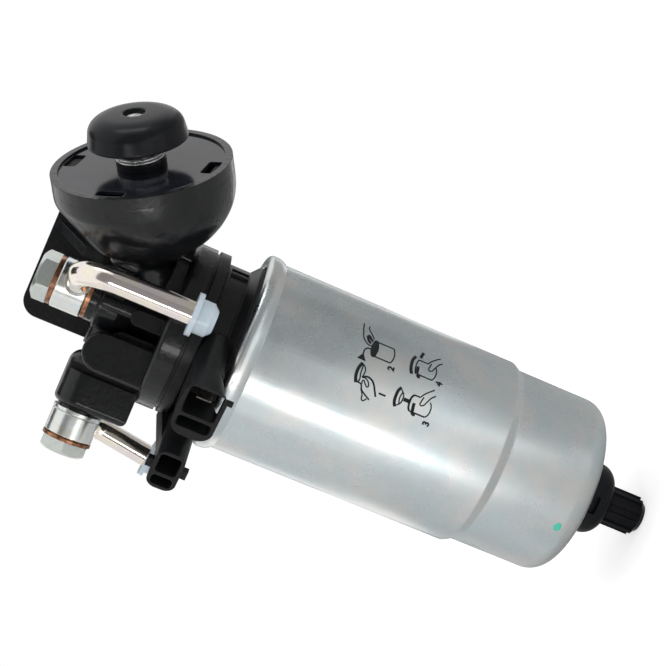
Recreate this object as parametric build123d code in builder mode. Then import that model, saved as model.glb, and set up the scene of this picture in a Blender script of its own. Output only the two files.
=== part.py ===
"""Diesel fuel water separator: cast filter head with hand primer pump and electric heater ring,
spin-on canister with a drain knob, and two banjo unions with pipe stubs.

Millimetres, +Z up along the canister axis, -Y towards the viewer. The origin is the centre of the
bracket's bolt pattern on its mounting face, and that face looks along +Y. Heights named _H are
counted from the seam, the plane where the filter head meets the heater ring.
"""
import os
from math import cos, hypot, radians, sin

from build123d import *

os.makedirs("parts", exist_ok=True)

# Where the canister axis and the seam stand, from the centre of the bolt pattern
CAN_X = -9.0
CAN_Y = -53.0
SEAM_Z = -39.0

# Clearances, and how far a cut runs past the face that it opens
RUN_FIT = 0.05
SLIP = 0.3
OVERRUN = 1.0

# Head disc, its nipple thread and the annular gallery under it
HEAD_R = 36.6
HEAD_DISC_H = 9.5
HEAD_TOP_ROUND = 2.4
GALLERY_R = 30.0
GALLERY_H = 6.0
HUB_R = 14.0
ORING_MEAN_R = 33.4
ORING_WIRE_R = 1.1

# Centre nipple that clamps the heater and carries the canister
NIPPLE_R = 10.0
NIPPLE_BORE_R = 6.5
NIPPLE_IN_HEAD = 14.0
NIPPLE_BELOW = 20.6
NIPPLE_FLANGE_AF = 27.0
NIPPLE_FLANGE_T = 3.0

# Turret, side arm, front pad and stop block of the casting
TURRET_R = 12.0
TURRET_Y = -1.0
TURRET_TOP_H = 34.0
SHOULDER_R = 12.4
SHOULDER_LOW_H = 23.0
SHOULDER_H = 29.0
SHOULDER_TOP_H = 37.2
SHOULDER_STEP = 0.8
SHOULDER_ROUND = 0.7
CHAMBER_R = 8.0
CHAMBER_TOP_H = 20.0
ARM_HALF = 12.0
ARM_END_X = -48.0
ARM_START_X = -24.0
ARM_SHOULDER_ROUND = 6.0
ARM_BOTTOM_H = 8.0
ARM_ROUND = 3.0
GROOVE_X = -32.8
GROOVE_W = 3.3
GROOVE_DEEP = 6.0
PAD_X = -21.0
PAD_HALF = 8.5
PAD_FRONT_Y = -22.5
PAD_TOP_H = 36.7
PAD_ROUND = 1.2
BLOCK_X = -2.2
BLOCK_W = 6.6
BLOCK_FRONT_Y = -22.0
BLOCK_TOP_H = 23.5
BLOCK_ROUND = 3.2
FRONT_RIB_R = 4.2
FRONT_RIB_Y = -17.0
FRONT_RIB_TOP_H = 36.0

# Ports: the upper one stands on the turret, the side one ends the arm
PORT_THREAD_R = 7.0
PORT_THREAD_DEEP = 14.0
PORT_DRILL_R = 3.0
PORT_BOSS_R = 10.8
UPPER_PORT_X = -1.0
UPPER_PORT_Y = -8.0
UPPER_PORT_H = 41.3
SIDE_PORT_Y = 3.0
SIDE_PORT_H = 28.4
SIDE_BOSS_OUT = 1.2
PASSAGE_END_X = 38.0
PASSAGE_BOSS_R = 9.5
RETURN_BOSS_R = 9.6
RETURN_BOSS_Y = -11.0
RETURN_BOSS_H = 31.1
RETURN_BOSS_X = 13.6
RETURN_BOSS_LEN = 22.4
RETURN_BOSS_ROUND = 3.4

# Mounting plate with its bridge and rib
PLATE_W = 62.4
PLATE_H = 62.8
PLATE_T = 12.0
PLATE_ROUND = 8.0
BOLT_SPACING = 46.0
BOLT_TAP_R = 3.4
BOLT_DEEP = 10.0
BRIDGE_HALF = 15.0
BRIDGE_TOP_H = 34.0
RIB_T = 4.2
RIB_FOOT_X = 14.0
RIB_HEAD_X = 20.5
RIB_FRONT_Y = 14.0
RIB_FRONT_TOP_H = 52.0
RIB_BACK_TOP_H = 69.0

# Primer pump: its axis leaves the canister axis forward, to the right and up
PUMP_TURN = 28.7
PUMP_RISE = 28.1
PUMP_H = 9.0
PUMP_NECK_R = 10.0
PUMP_NECK_T = 30.5
PUMP_SHOULDER_T = 41.5
PUMP_SHOULDER_R = 24.7
STEP_W = 20.0
STEP_L = 30.0
STEP_X = 18.0
STEP_Y = -7.0
STEP_H = 14.6
WEB_T = 5.0
WEB_X = 23.0
PUMP_LIP_R = 36.7
PUMP_LIP_START_T = 62.0
PUMP_FACE_T = 72.1
PUMP_ROUND = 5.0
PUMP_CRIMP_T = 0.8
PUMP_CRIMP_R = 33.7
COVER_R = 34.4
COVER_T = 1.6
COVER_SLOTS = 4
COVER_SLOT_TURN = 77.0
COVER_SLOT_IN_R = 27.2
COVER_SLOT_OUT_R = 32.8
COVER_SLOT_W = 11.5
COVER_SLOT_ROUND = 1.2
CAVITY_R = 31.0
CAVITY_FLOOR_R = 24.0
CAVITY_WALL_T = 63.0
CAVITY_FLOOR_T = 55.3
NUT_POCKET_R = 7.0
NUT_POCKET_DEEP = 3.0
VALVE_R = 5.0
VALVE_LEN = 6.0
VALVE_BORE_R = 2.2
VALVE_DISC_R = 4.0
INLET_OFF = 18.0
OUTLET_OFF = 10.0
OUTLET_DRILL_R = 2.4
OUTLET_DRILL_END_T = 11.0

# Pump moving parts
STROKE = 9.0
RUBBER_T = 1.5
ROLL_DEEP = 3.0
ROLL_CLEAR = 1.0
PISTON_R = 17.0
PISTON_T = 1.2
PISTON_DROP = 1.3
ROD_R = 5.0
ROD_SPIGOT_R = 3.5
ROD_SPIGOT_LEN = 4.0
ROD_THREAD_R = 3.0
ROD_NUT_AF = 9.0
ROD_NUT_T = 3.0
GUIDE_R = 7.5
GUIDE_FLANGE_R = 10.2
GUIDE_FLANGE_T = 2.6
BUTTON_LOW = 9.7
BUTTON_RIM_R = 19.7
BUTTON_R = 20.9
BUTTON_SHOULDER_R = 19.3
BUTTON_SKIN = 1.6
BUTTON_WIDE_UP = 3.2
BUTTON_SHOULDER_UP = 8.3
BUTTON_CEILING = 8.4
BUTTON_CEILING_R = 16.3
BUTTON_CROWN_R = 13.0
BUTTON_CROWN_DROP = 0.9
BUTTON_TOP = 12.2
BUTTON_HUB_R = 8.2
BUTTON_HUB_UP = 2.3
SPRING_WIRE_R = 0.6
SPRING_R = 9.3
SPRING_CLOSED_TURNS = 2
SPRING_CLOSED_PITCH = 1.27
SPRING_OPEN_TURNS = 2
SCREW_HEAD_R = 3.7
SCREW_HEAD_T = 2.0
SCREW_R = 2.5
SCREW_LEN = 6.0
SCREW_SLOT = 1.2
SCREW_HOLE_R = 4.0
SCREW_SUNK = 1.7

# Heater ring between head and canister
HEATER_LEN = 20.4
HEATER_NECK_R = 35.2
HEATER_NECK_LEN = 1.5
HEATER_TOP_LEN = 4.5
HEATER_WAIST_R = 33.2
HEATER_WAIST_TOP = 6.9
HEATER_WAIST_LOW = 16.2
HEATER_FOOT_R = 36.85
HEATER_FOOT_T = 1.0
HEATER_WALL_R = 30.5
SPOKES = 6
SPOKE_W = 4.0
SPOKE_H = 5.0
ELEMENT_PLATE_T = 4.0
ELEMENT_PLATE_R = 29.5
ELEMENT_HOLES = 12
ELEMENT_HOLE_R = 2.2
PANEL_DEEP = 1.1
PANEL_TOP = 7.9
PANEL_LOW = 15.6
PANEL_TURN = -82.0
PANEL_ARC = 56.0
WINDOW_TURN = -22.5
WINDOW_ARC = 5.5

# Connectors moulded on the heater ring, parallel to each other
SOCKET_TURN = 35.0
SOCKET_REACH = 59.0
SOCKET_ROOT = 22.0
HOOD_START = 46.0
POWER_OFF = 9.5
POWER_DEEP = 13.5
POWER_W = 27.6
POWER_TOP = 6.3
POWER_LOW = 23.8
POWER_BARREL_LOW = 19.6
POWER_ROUND = 6.2
POWER_SIDE_WALL = 4.2
POWER_KEY_W = 5.6
SENSOR_OFF = -25.5
SENSOR_DEEP = 15.0
SENSOR_ROOT = 18.0
SENSOR_W = 20.5
SENSOR_TOP = 7.2
SENSOR_LOW = 19.6
SENSOR_ROUND = 4.6
SENSOR_KEY_W = 5.2
CELL_WALL = 1.7
CELL_ROUND = 1.6
BLADE_W = 6.3
BLADE_T = 0.8
BLADE_OUT = 7.0
BLADE_IN = 5.0
BLADE_PITCH = 6.0
PIN_R = 0.8
LATCH_OFF = -0.8
LATCH_W = 4.6
LATCH_L = 2.6
LATCH_H = 2.6
WEDGE_REACH = 45.0
WEDGE_ROOT = 24.0
WEDGE_W = 8.0
WEDGE_TOP = 2.6
LUG_OFF = 7.5
LUG_W = 2.0
LUG_L = 1.6
LUG_H = 2.2

# Spin-on canister
CAN_R = 42.0
CAN_WALL = 1.0
BEAD_R = 43.8
BEAD_IN_R = 39.0
BEAD_TOP = 20.7
BEAD_WIDE = 24.2
BEAD_LOW = 29.0
BEAD_BULGE = 0.35
STEP_TOP = 137.0
STEP_LOW = 141.0
STEP_ROUND = 1.2
STEP_INSIDE = 0.2
LOWER_R = 39.8
CAN_LEN = 184.0
BOTTOM_FLAT_R = 30.0
BOTTOM_CORNER_R = 9.0
GASKET_IN_R = 31.8
GASKET_OUT_R = 36.8
GASKET_T = 4.8
RETAINER_T = 0.8
RETAINER_IN_R = 29.5
RETAINER_HIGH = 3.6
BASE_PLATE_T = 4.0
BASE_PLATE_R = 37.4
THREAD_BOSS_R = 14.0
THREAD_BOSS_LEN = 8.0
INLET_HOLES = 8
INLET_HOLE_R = 3.0
INLET_RING_R = 23.0

# Filter element
GROMMET_T = 5.0
GROMMET_IN_R = 10.8
END_CAP_T = 2.0
END_CAP_R = 37.6
PLEATS = 40
PLEAT_OUT_R = 36.4
PLEAT_IN_R = 16.6
PLEAT_SHEET = 4.2
PLEAT_LEN = 86.0
TUBE_R = 15.6
TUBE_WALL = 0.8
TUBE_ROWS = 5
TUBE_SLOTS = 6
TUBE_SLOT_W = 4.0
TUBE_SLOT_H = 8.0
LEAF_T = 1.0
LEAF_HUB_R = 14.0
LEAF_R = 39.2
LEAF_DROP = 5.4
LEAF_W = 10.0
LEAVES = 4

# Drain
BUSH_R = 9.0
BUSH_FLANGE_R = 12.5
BUSH_FLANGE_T = 2.5
BUSH_UP = 8.0
DRAIN_THREAD_R = 6.0
DRAIN_BORE_R = 2.5
STEM_SLOT = 1.2
STEM_LEN = 10.0
KNOB_GAP = 0.4
DRAIN_GASKET_IN_R = 9.8
DRAIN_GASKET_OUT_R = 13.4
DRAIN_GASKET_T = 2.0
KNOB_TOP_R = 15.6
KNOB_R = 16.1
KNOB_WIDE = 5.5
KNOB_ROUND_START = 11.0
KNOB_FLANGE_LEN = 17.4
KNOB_ROUND_R = 7.0
KNOB_LEN = 34.5
KNOB_RIM_WALL = 1.6
KNOB_EDGE_ROUND = 1.0
GRIP_CORE_R = 7.9
GRIP_R = 8.9
GRIP_RIBS = 10
GRIP_RIB_W = 2.2
GRIP_END = 2.4
GRIP_END_R = 6.6
GRIP_STEP = 0.6
GRIP_ROOT_ROUND = 0.5
NOTCHES = 4
NOTCH_W = 8.0
NOTCH_DEEP = 9.0
NOTCH_REACH = 5.0
NOTCH_TURN = -96.0

# Banjo unions
BANJO_HEX_AF = 19.0
HEX_CHAMFER = 1.0
UPPER_HEX_TURN = 8.5
BANJO_WASHER_R = 10.6
BANJO_BORE_CLEAR = 0.2
BANJO_BOLT_IN = 10.5
BANJO_BOLT_BORE_R = 3.4
BANJO_BOLT_ROOF = 3.0
BANJO_CROSS_R = 2.5
BANJO_RING_R = 8.8
UPPER_HEX_T = 7.2
UPPER_WASHER_T = 1.8
UPPER_FITTING_H = 13.6
UPPER_FITTING_R = 11.0
UPPER_BRANCH_DROP = 1.5
SIDE_HEX_T = 5.6
SIDE_WASHER_T = 1.4
SIDE_FITTING_H = 10.6
SIDE_FITTING_R = 10.4
FITTING_CHAMFER = 0.7
COLLAR_R = 5.7
COLLAR_LEN = 1.6

# Pipe stubs and their shipping caps
PIPE_R = 5.0
PIPE_WALL = 1.0
PIPE_BEND_R = 15.5
UPPER_PIPE_REACH = 41.3
UPPER_PIPE_TURN = 13.7
UPPER_PIPE_DROP = 54.3
SIDE_PIPE_REACH = 38.0
SIDE_PIPE_LEAN = 8.5
SIDE_PIPE_DROP = 45.0
PIPE_IN_CAP = 8.0
CAP_FLANGE_R = 9.0
CAP_FLANGE_T = 2.2
CAP_BODY_R = 7.1
CAP_FLOOR = 1.3
CAP_ROUND = 2.4

# Frames that the pieces are drawn in
seam = Plane(origin=(CAN_X, CAN_Y, SEAM_Z))
can_axis = Axis(seam.origin, (0, 0, 1))


def section_through(seat):
    """The half plane through a seat's own axis: x is the radius and y runs along the axis."""
    return Plane(origin=seat.origin, x_dir=seat.x_dir, z_dir=-seat.y_dir)


def turned_seam(height, angle):
    """A horizontal plane at a height over the seam, turned about the canister axis."""
    return seam.offset(height).rotated((0, 0, angle))


def at_can(x, y, height):
    """A point given from the canister axis and the seam."""
    return Vector(CAN_X + x, CAN_Y + y, SEAM_Z + height)


def front_plane(x, y, height):
    """A plane that faces the viewer, at a point given from the canister axis."""
    return Plane(origin=at_can(x, y, height), x_dir=(1, 0, 0), z_dir=(0, -1, 0))


def keep(part, name):
    """Name a finished piece and write it to its own file."""
    part.label = name
    export_step(part, f"parts/{name}.step")


section = section_through(seam)

pump_dir = Vector(
    cos(radians(PUMP_RISE)) * cos(radians(PUMP_TURN)),
    -cos(radians(PUMP_RISE)) * sin(radians(PUMP_TURN)),
    sin(radians(PUMP_RISE)),
)
pump_level = Vector(sin(radians(PUMP_TURN)), cos(radians(PUMP_TURN)), 0)
pump = Plane(origin=at_can(0, 0, PUMP_H), x_dir=pump_level, z_dir=pump_dir)
pump_section = section_through(pump)
pump_axis = Axis(pump.origin, pump_dir)

upper_port = Plane(origin=at_can(UPPER_PORT_X, UPPER_PORT_Y, UPPER_PORT_H))
side_port = Plane(
    origin=at_can(ARM_END_X - SIDE_BOSS_OUT, SIDE_PORT_Y, SIDE_PORT_H), x_dir=(0, -1, 0), z_dir=(-1, 0, 0)
)

socket_dir = Vector(-sin(radians(SOCKET_TURN)), -cos(radians(SOCKET_TURN)), 0)
socket_side = Vector(cos(radians(SOCKET_TURN)), -sin(radians(SOCKET_TURN)), 0)


def socket_plane(offset, reach, height):
    """A plane across a connector: x runs along the heater's side, y is up, z points out."""
    origin = at_can(0, 0, height) + socket_dir * reach + socket_side * offset
    return Plane(origin=origin, x_dir=socket_side, z_dir=socket_dir)


# Stations along the pump axis, worked out from the cover's face
cover_under_t = PUMP_FACE_T - COVER_T
ledge_t = cover_under_t - RUBBER_T
piston_top_t = ledge_t + SLIP - PISTON_DROP + PISTON_T
diaphragm_top_t = piston_top_t - PISTON_T
diaphragm_low_t = diaphragm_top_t - RUBBER_T
piston_low_t = diaphragm_low_t - PISTON_T
rod_nut_t = piston_low_t - ROD_NUT_T
button_low_t = PUMP_FACE_T + BUTTON_LOW
hub_low_t = button_low_t + BUTTON_HUB_UP
button_top_t = button_low_t + BUTTON_TOP
ceiling_t = button_low_t + BUTTON_CEILING
screw_seat_t = button_top_t - SCREW_SUNK - SCREW_HEAD_T
nut_pocket_t = CAVITY_FLOOR_T - NUT_POCKET_DEEP
valve_seat_t = CAVITY_FLOOR_T - VALVE_LEN

# The filter head, one casting
plate_front_y = -PLATE_T
bridge_len = plate_front_y - (CAN_Y + TURRET_Y)
rib_run = hypot(RIB_HEAD_X - RIB_FOOT_X, plate_front_y - CAN_Y - RIB_FRONT_Y)
rib_dir = Vector(RIB_HEAD_X - RIB_FOOT_X, plate_front_y - CAN_Y - RIB_FRONT_Y, 0)
rib_plane = Plane(
    origin=at_can(RIB_FOOT_X, RIB_FRONT_Y, 0), x_dir=rib_dir, z_dir=rib_dir.cross(Vector(0, 0, 1))
)
arm_plane = Plane(origin=at_can(ARM_START_X, SIDE_PORT_Y, SIDE_PORT_H), x_dir=(0, -1, 0), z_dir=(-1, 0, 0))
passage_plane = Plane(origin=at_can(PAD_X, SIDE_PORT_Y, SIDE_PORT_H), x_dir=(0, 1, 0), z_dir=(1, 0, 0))
return_plane = Plane(origin=at_can(RETURN_BOSS_X, RETURN_BOSS_Y, RETURN_BOSS_H), x_dir=(0, 1, 0), z_dir=(1, 0, 0))
oring_land_r = ORING_MEAN_R - ORING_WIRE_R
oring_outer_r = ORING_MEAN_R + ORING_WIRE_R

with BuildPart() as filter_head:
    # Side arm: an arch prism that ends in the round port boss
    with BuildSketch(arm_plane):
        Circle(ARM_HALF)
        with Locations((0, (ARM_BOTTOM_H - SIDE_PORT_H) / 2)):
            Rectangle(2 * ARM_HALF, SIDE_PORT_H - ARM_BOTTOM_H)
    extrude(amount=ARM_START_X - ARM_END_X)
    fillet(filter_head.faces().sort_by(Axis.X)[0].edges(), ARM_ROUND)
    fillet(filter_head.faces().sort_by(Axis.X)[-1].edges().filter_by(GeomType.CIRCLE), ARM_SHOULDER_ROUND)
    with BuildSketch(side_port):
        Circle(PORT_BOSS_R - ARM_ROUND / 2)
    extrude(amount=-(ARM_ROUND + SIDE_BOSS_OUT))
    # Blank pad that faces the viewer
    with BuildSketch(front_plane(PAD_X, 0, 0)):
        with Locations((0, PAD_TOP_H - PAD_HALF)):
            Circle(PAD_HALF)
        with Locations((0, (PAD_TOP_H - PAD_HALF + ARM_BOTTOM_H) / 2)):
            Rectangle(2 * PAD_HALF, PAD_TOP_H - PAD_HALF - ARM_BOTTOM_H)
    extrude(amount=-PAD_FRONT_Y)
    fillet(filter_head.faces().sort_by(Axis.Y)[0].edges(), PAD_ROUND)
    # Relief groove between arm and pad
    with BuildSketch(front_plane(GROOVE_X, SIDE_PORT_Y - ARM_HALF, ARM_BOTTOM_H)):
        Rectangle(GROOVE_W, SIDE_PORT_H + ARM_HALF, align=(Align.MIN, Align.MIN))
    extrude(amount=-GROOVE_DEEP, mode=Mode.SUBTRACT)
    # Turret with the upper port boss, and the stop block and half-round rib on its front
    with BuildSketch(seam):
        with Locations((0, TURRET_Y)):
            Circle(TURRET_R)
    extrude(amount=TURRET_TOP_H)
    with BuildSketch(section_through(upper_port)):
        with BuildLine():
            FilletPolyline(
                (TURRET_R - ARM_ROUND, SHOULDER_LOW_H - UPPER_PORT_H),
                (SHOULDER_R, SHOULDER_H - UPPER_PORT_H),
                (SHOULDER_R, SHOULDER_TOP_H - UPPER_PORT_H),
                (PORT_BOSS_R, SHOULDER_TOP_H - UPPER_PORT_H + SHOULDER_STEP),
                (PORT_BOSS_R, 0),
                radius=SHOULDER_ROUND,
            )
            Polyline(
                (PORT_BOSS_R, 0),
                (0, 0),
                (0, SHOULDER_LOW_H - UPPER_PORT_H),
                (TURRET_R - ARM_ROUND, SHOULDER_LOW_H - UPPER_PORT_H),
            )
        make_face()
    revolve(axis=Axis(upper_port.origin, upper_port.z_dir))
    with BuildSketch(front_plane(BLOCK_X, 0, 0)):
        with Locations((0, BLOCK_TOP_H / 2)):
            RectangleRounded(BLOCK_W, BLOCK_TOP_H, BLOCK_ROUND)
    extrude(amount=-BLOCK_FRONT_Y)
    with BuildSketch(seam):
        with Locations((UPPER_PORT_X, FRONT_RIB_Y)):
            Circle(FRONT_RIB_R)
    extrude(amount=FRONT_RIB_TOP_H)
    # Boss of the drilled passage that feeds the pump, on a foot behind the pad
    with BuildSketch(passage_plane):
        Circle(PASSAGE_BOSS_R)
    extrude(amount=PASSAGE_END_X + PORT_DRILL_R - PAD_X)
    with BuildSketch(passage_plane):
        with Locations((0, (ARM_BOTTOM_H - SIDE_PORT_H) / 2)):
            Rectangle(2 * PASSAGE_BOSS_R, SIDE_PORT_H - ARM_BOTTOM_H)
    extrude(amount=-PAD_X)
    # Disc that seals on the heater ring, with a raised step and a web under the pump
    with BuildSketch(section):
        with BuildLine():
            FilletPolyline((HEAD_R, 0), (HEAD_R, HEAD_DISC_H), (0, HEAD_DISC_H), radius=HEAD_TOP_ROUND)
            Polyline((0, HEAD_DISC_H), (0, 0), (HEAD_R, 0))
        make_face()
    revolve(axis=can_axis)
    with BuildSketch(seam):
        with Locations((STEP_X, STEP_Y)):
            RectangleRounded(STEP_W, STEP_L, ARM_ROUND)
    extrude(amount=STEP_H)
    with BuildSketch(seam):
        with Locations((0, TURRET_Y)):
            Rectangle(WEB_X, WEB_T, align=(Align.MIN, Align.CENTER))
    extrude(amount=SIDE_PORT_H)
    # Pump bowl, a bell on its own tilted axis
    with BuildSketch(pump_section):
        with BuildLine():
            FilletPolyline(
                (PUMP_NECK_R, 0),
                (PUMP_NECK_R, PUMP_NECK_T),
                (PUMP_SHOULDER_R, PUMP_SHOULDER_T),
                (PUMP_LIP_R, PUMP_LIP_START_T),
                (PUMP_LIP_R, PUMP_FACE_T + PUMP_CRIMP_T),
                radius=PUMP_ROUND,
            )
            Polyline(
                (PUMP_LIP_R, PUMP_FACE_T + PUMP_CRIMP_T), (0, PUMP_FACE_T + PUMP_CRIMP_T), (0, 0), (PUMP_NECK_R, 0)
            )
        make_face()
    revolve(axis=pump_axis)
    with BuildSketch(section):
        with Locations((0, -HEAD_R)):
            Rectangle(3 * HEAD_R, HEAD_R, align=(Align.CENTER, Align.MIN))
    extrude(amount=HEAD_R, both=True, mode=Mode.SUBTRACT)
    # Boss over the pump's return passage, from beside the turret into the bowl
    with BuildSketch(section_through(return_plane)):
        with BuildLine():
            FilletPolyline(
                (0, 0), (RETURN_BOSS_R, 0), (RETURN_BOSS_R, RETURN_BOSS_LEN), radius=RETURN_BOSS_ROUND
            )
            Polyline((RETURN_BOSS_R, RETURN_BOSS_LEN), (0, RETURN_BOSS_LEN), (0, 0))
        make_face()
    revolve(axis=Axis(return_plane.origin, return_plane.z_dir))
    # Bridge, mounting plate and rib
    with BuildSketch(seam.offset(ARM_BOTTOM_H)):
        with Locations((0, TURRET_Y)):
            Rectangle(2 * BRIDGE_HALF, bridge_len, align=(Align.CENTER, Align.MIN))
    extrude(amount=BRIDGE_TOP_H - ARM_BOTTOM_H)
    with BuildSketch(Plane.XZ):
        RectangleRounded(PLATE_W, PLATE_H, PLATE_ROUND)
    extrude(amount=PLATE_T)
    with BuildSketch(rib_plane):
        with BuildLine():
            Polyline(
                (0, ARM_BOTTOM_H),
                (rib_run + RIB_T, ARM_BOTTOM_H),
                (rib_run + RIB_T, RIB_BACK_TOP_H),
                (rib_run, RIB_BACK_TOP_H),
                (0, RIB_FRONT_TOP_H),
                close=True,
            )
        make_face()
    extrude(amount=RIB_T / 2, both=True)
    # Pump chamber, its crimped seat for cover and diaphragm, and the pocket over the rod nut
    with BuildSketch(pump_section):
        with BuildLine():
            Polyline(
                (0, nut_pocket_t),
                (NUT_POCKET_R, nut_pocket_t),
                (NUT_POCKET_R, CAVITY_FLOOR_T),
                (CAVITY_FLOOR_R, CAVITY_FLOOR_T),
                (CAVITY_R, CAVITY_WALL_T),
                (CAVITY_R, ledge_t),
                (COVER_R, ledge_t),
                (COVER_R, PUMP_FACE_T),
                (PUMP_CRIMP_R, PUMP_FACE_T),
                (PUMP_CRIMP_R, PUMP_FACE_T + 2 * PUMP_CRIMP_T),
                (0, PUMP_FACE_T + 2 * PUMP_CRIMP_T),
                close=True,
            )
        make_face()
    revolve(axis=pump_axis, mode=Mode.SUBTRACT)
    # Valve seats in the chamber floor, and the drillings behind them
    with BuildSketch(pump.offset(valve_seat_t)):
        with Locations((INLET_OFF, 0), (0, -OUTLET_OFF)):
            Circle(VALVE_R)
    extrude(amount=VALVE_LEN, mode=Mode.SUBTRACT)
    with BuildSketch(pump.offset(valve_seat_t)):
        with Locations((INLET_OFF, 0)):
            Circle(PORT_DRILL_R)
    extrude(amount=-(valve_seat_t - PUMP_SHOULDER_T + PORT_DRILL_R), mode=Mode.SUBTRACT)
    with BuildSketch(pump.offset(valve_seat_t)):
        with Locations((0, -OUTLET_OFF)):
            Circle(OUTLET_DRILL_R)
    extrude(amount=-(valve_seat_t - OUTLET_DRILL_END_T), mode=Mode.SUBTRACT)
    with BuildSketch(side_port):
        Circle(PORT_DRILL_R)
    extrude(amount=-(PASSAGE_END_X - ARM_END_X + SIDE_BOSS_OUT), mode=Mode.SUBTRACT)
    with BuildSketch(side_port):
        Circle(PORT_THREAD_R)
    extrude(amount=-PORT_THREAD_DEEP, mode=Mode.SUBTRACT)
    # Upper port, its drilling, the chamber over the nipple and the nipple's thread
    with BuildSketch(upper_port):
        Circle(PORT_THREAD_R)
    extrude(amount=-PORT_THREAD_DEEP, mode=Mode.SUBTRACT)
    with BuildSketch(upper_port):
        Circle(PORT_DRILL_R)
    extrude(amount=-(UPPER_PORT_H - NIPPLE_IN_HEAD - OVERRUN), mode=Mode.SUBTRACT)
    with BuildSketch(section):
        with BuildLine():
            Polyline(
                (0, -OVERRUN),
                (NIPPLE_R, -OVERRUN),
                (NIPPLE_R, NIPPLE_IN_HEAD),
                (CHAMBER_R, NIPPLE_IN_HEAD),
                (CHAMBER_R, CHAMBER_TOP_H),
                (0, CHAMBER_TOP_H),
                close=True,
            )
        make_face()
    revolve(axis=can_axis, mode=Mode.SUBTRACT)
    # Gallery and the groove for the upper seal, both open downwards
    with BuildSketch(seam):
        Circle(GALLERY_R)
        Circle(HUB_R, mode=Mode.SUBTRACT)
    extrude(amount=GALLERY_H, mode=Mode.SUBTRACT)
    with BuildSketch(seam):
        Circle(oring_outer_r)
        Circle(oring_land_r, mode=Mode.SUBTRACT)
    extrude(amount=2 * ORING_WIRE_R, mode=Mode.SUBTRACT)
    # Tapped holes in the back of the plate
    with BuildSketch(Plane.XZ):
        with GridLocations(BOLT_SPACING, BOLT_SPACING, 2, 2):
            Circle(BOLT_TAP_R)
    extrude(amount=BOLT_DEEP, mode=Mode.SUBTRACT)
keep(filter_head.part, "filter_head")

with BuildPart() as head_oring:
    with BuildSketch(section):
        with Locations((ORING_MEAN_R, ORING_WIRE_R)):
            Circle(ORING_WIRE_R)
    revolve(axis=can_axis)
keep(head_oring.part, "head_oring")

# Nipple: a hollow stud whose hexagon clamps the heater's hub against the head
with BuildPart() as centre_nipple:
    with BuildSketch(seam.offset(-HEATER_LEN - NIPPLE_BELOW)):
        Circle(NIPPLE_R)
    extrude(amount=NIPPLE_BELOW + HEATER_LEN + NIPPLE_IN_HEAD)
    with BuildSketch(seam.offset(-HEATER_LEN)):
        RegularPolygon(NIPPLE_FLANGE_AF / 2, 6, major_radius=False)
    extrude(amount=-NIPPLE_FLANGE_T)
    with BuildSketch(seam.offset(-HEATER_LEN - NIPPLE_BELOW)):
        Circle(NIPPLE_BORE_R)
    extrude(amount=NIPPLE_BELOW + HEATER_LEN + NIPPLE_IN_HEAD, mode=Mode.SUBTRACT)
keep(centre_nipple.part, "centre_nipple")

# Check valves pressed into the chamber floor
with BuildPart() as inlet_valve:
    with BuildSketch(pump.offset(valve_seat_t)):
        with Locations((INLET_OFF, 0)):
            Circle(VALVE_R)
            Circle(VALVE_BORE_R, mode=Mode.SUBTRACT)
    extrude(amount=VALVE_LEN)
    with BuildSketch(pump.offset(valve_seat_t + VALVE_LEN / 2)):
        with Locations((INLET_OFF, 0)):
            Circle(VALVE_DISC_R)
    extrude(amount=VALVE_LEN / 4)
keep(inlet_valve.part, "inlet_valve")

with BuildPart() as outlet_valve:
    with BuildSketch(pump.offset(valve_seat_t)):
        with Locations((0, -OUTLET_OFF)):
            Circle(VALVE_R)
            Circle(VALVE_BORE_R, mode=Mode.SUBTRACT)
    extrude(amount=VALVE_LEN)
    with BuildSketch(pump.offset(valve_seat_t + VALVE_LEN / 4)):
        with Locations((0, -OUTLET_OFF)):
            Circle(VALVE_DISC_R)
    extrude(amount=VALVE_LEN / 4)
keep(outlet_valve.part, "outlet_valve")

# Pressed cover with four slots round its rim and a hole for the rod guide
with BuildPart() as pump_cover:
    with BuildSketch(pump.offset(cover_under_t)):
        Circle(COVER_R)
        Circle(GUIDE_R, mode=Mode.SUBTRACT)
        with PolarLocations((COVER_SLOT_IN_R + COVER_SLOT_OUT_R) / 2, COVER_SLOTS, COVER_SLOT_TURN):
            RectangleRounded(COVER_SLOT_OUT_R - COVER_SLOT_IN_R, COVER_SLOT_W, COVER_SLOT_ROUND, mode=Mode.SUBTRACT)
    extrude(amount=COVER_T)
keep(pump_cover.part, "pump_cover")

with BuildPart() as rod_guide:
    with BuildSketch(pump_section):
        with BuildLine():
            Polyline(
                (ROD_R + RUN_FIT, piston_top_t + SLIP),
                (GUIDE_R, piston_top_t + SLIP),
                (GUIDE_R, PUMP_FACE_T),
                (GUIDE_FLANGE_R, PUMP_FACE_T),
                (GUIDE_FLANGE_R, PUMP_FACE_T + GUIDE_FLANGE_T),
                (ROD_R + RUN_FIT, PUMP_FACE_T + GUIDE_FLANGE_T),
                close=True,
            )
        make_face()
    revolve(axis=pump_axis)
keep(rod_guide.part, "rod_guide")

# Diaphragm: a clamped rim, a roll that hangs into the chamber and a flat centre
roll_in_r = PISTON_R + ROLL_CLEAR
roll_out_r = CAVITY_R - ROLL_CLEAR
roll_mid_r = (roll_in_r + roll_out_r) / 2
with BuildPart() as diaphragm:
    with BuildSketch(pump_section):
        with BuildLine():
            Polyline(
                (ROD_THREAD_R, diaphragm_low_t),
                (roll_in_r, diaphragm_low_t),
                (roll_mid_r, diaphragm_low_t - ROLL_DEEP),
                (roll_out_r, ledge_t),
                (COVER_R, ledge_t),
                (COVER_R, cover_under_t),
                (roll_out_r, cover_under_t),
                (roll_mid_r, diaphragm_top_t - ROLL_DEEP),
                (roll_in_r, diaphragm_top_t),
                (ROD_THREAD_R, diaphragm_top_t),
                close=True,
            )
        make_face()
    revolve(axis=pump_axis)
keep(diaphragm.part, "diaphragm")

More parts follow.
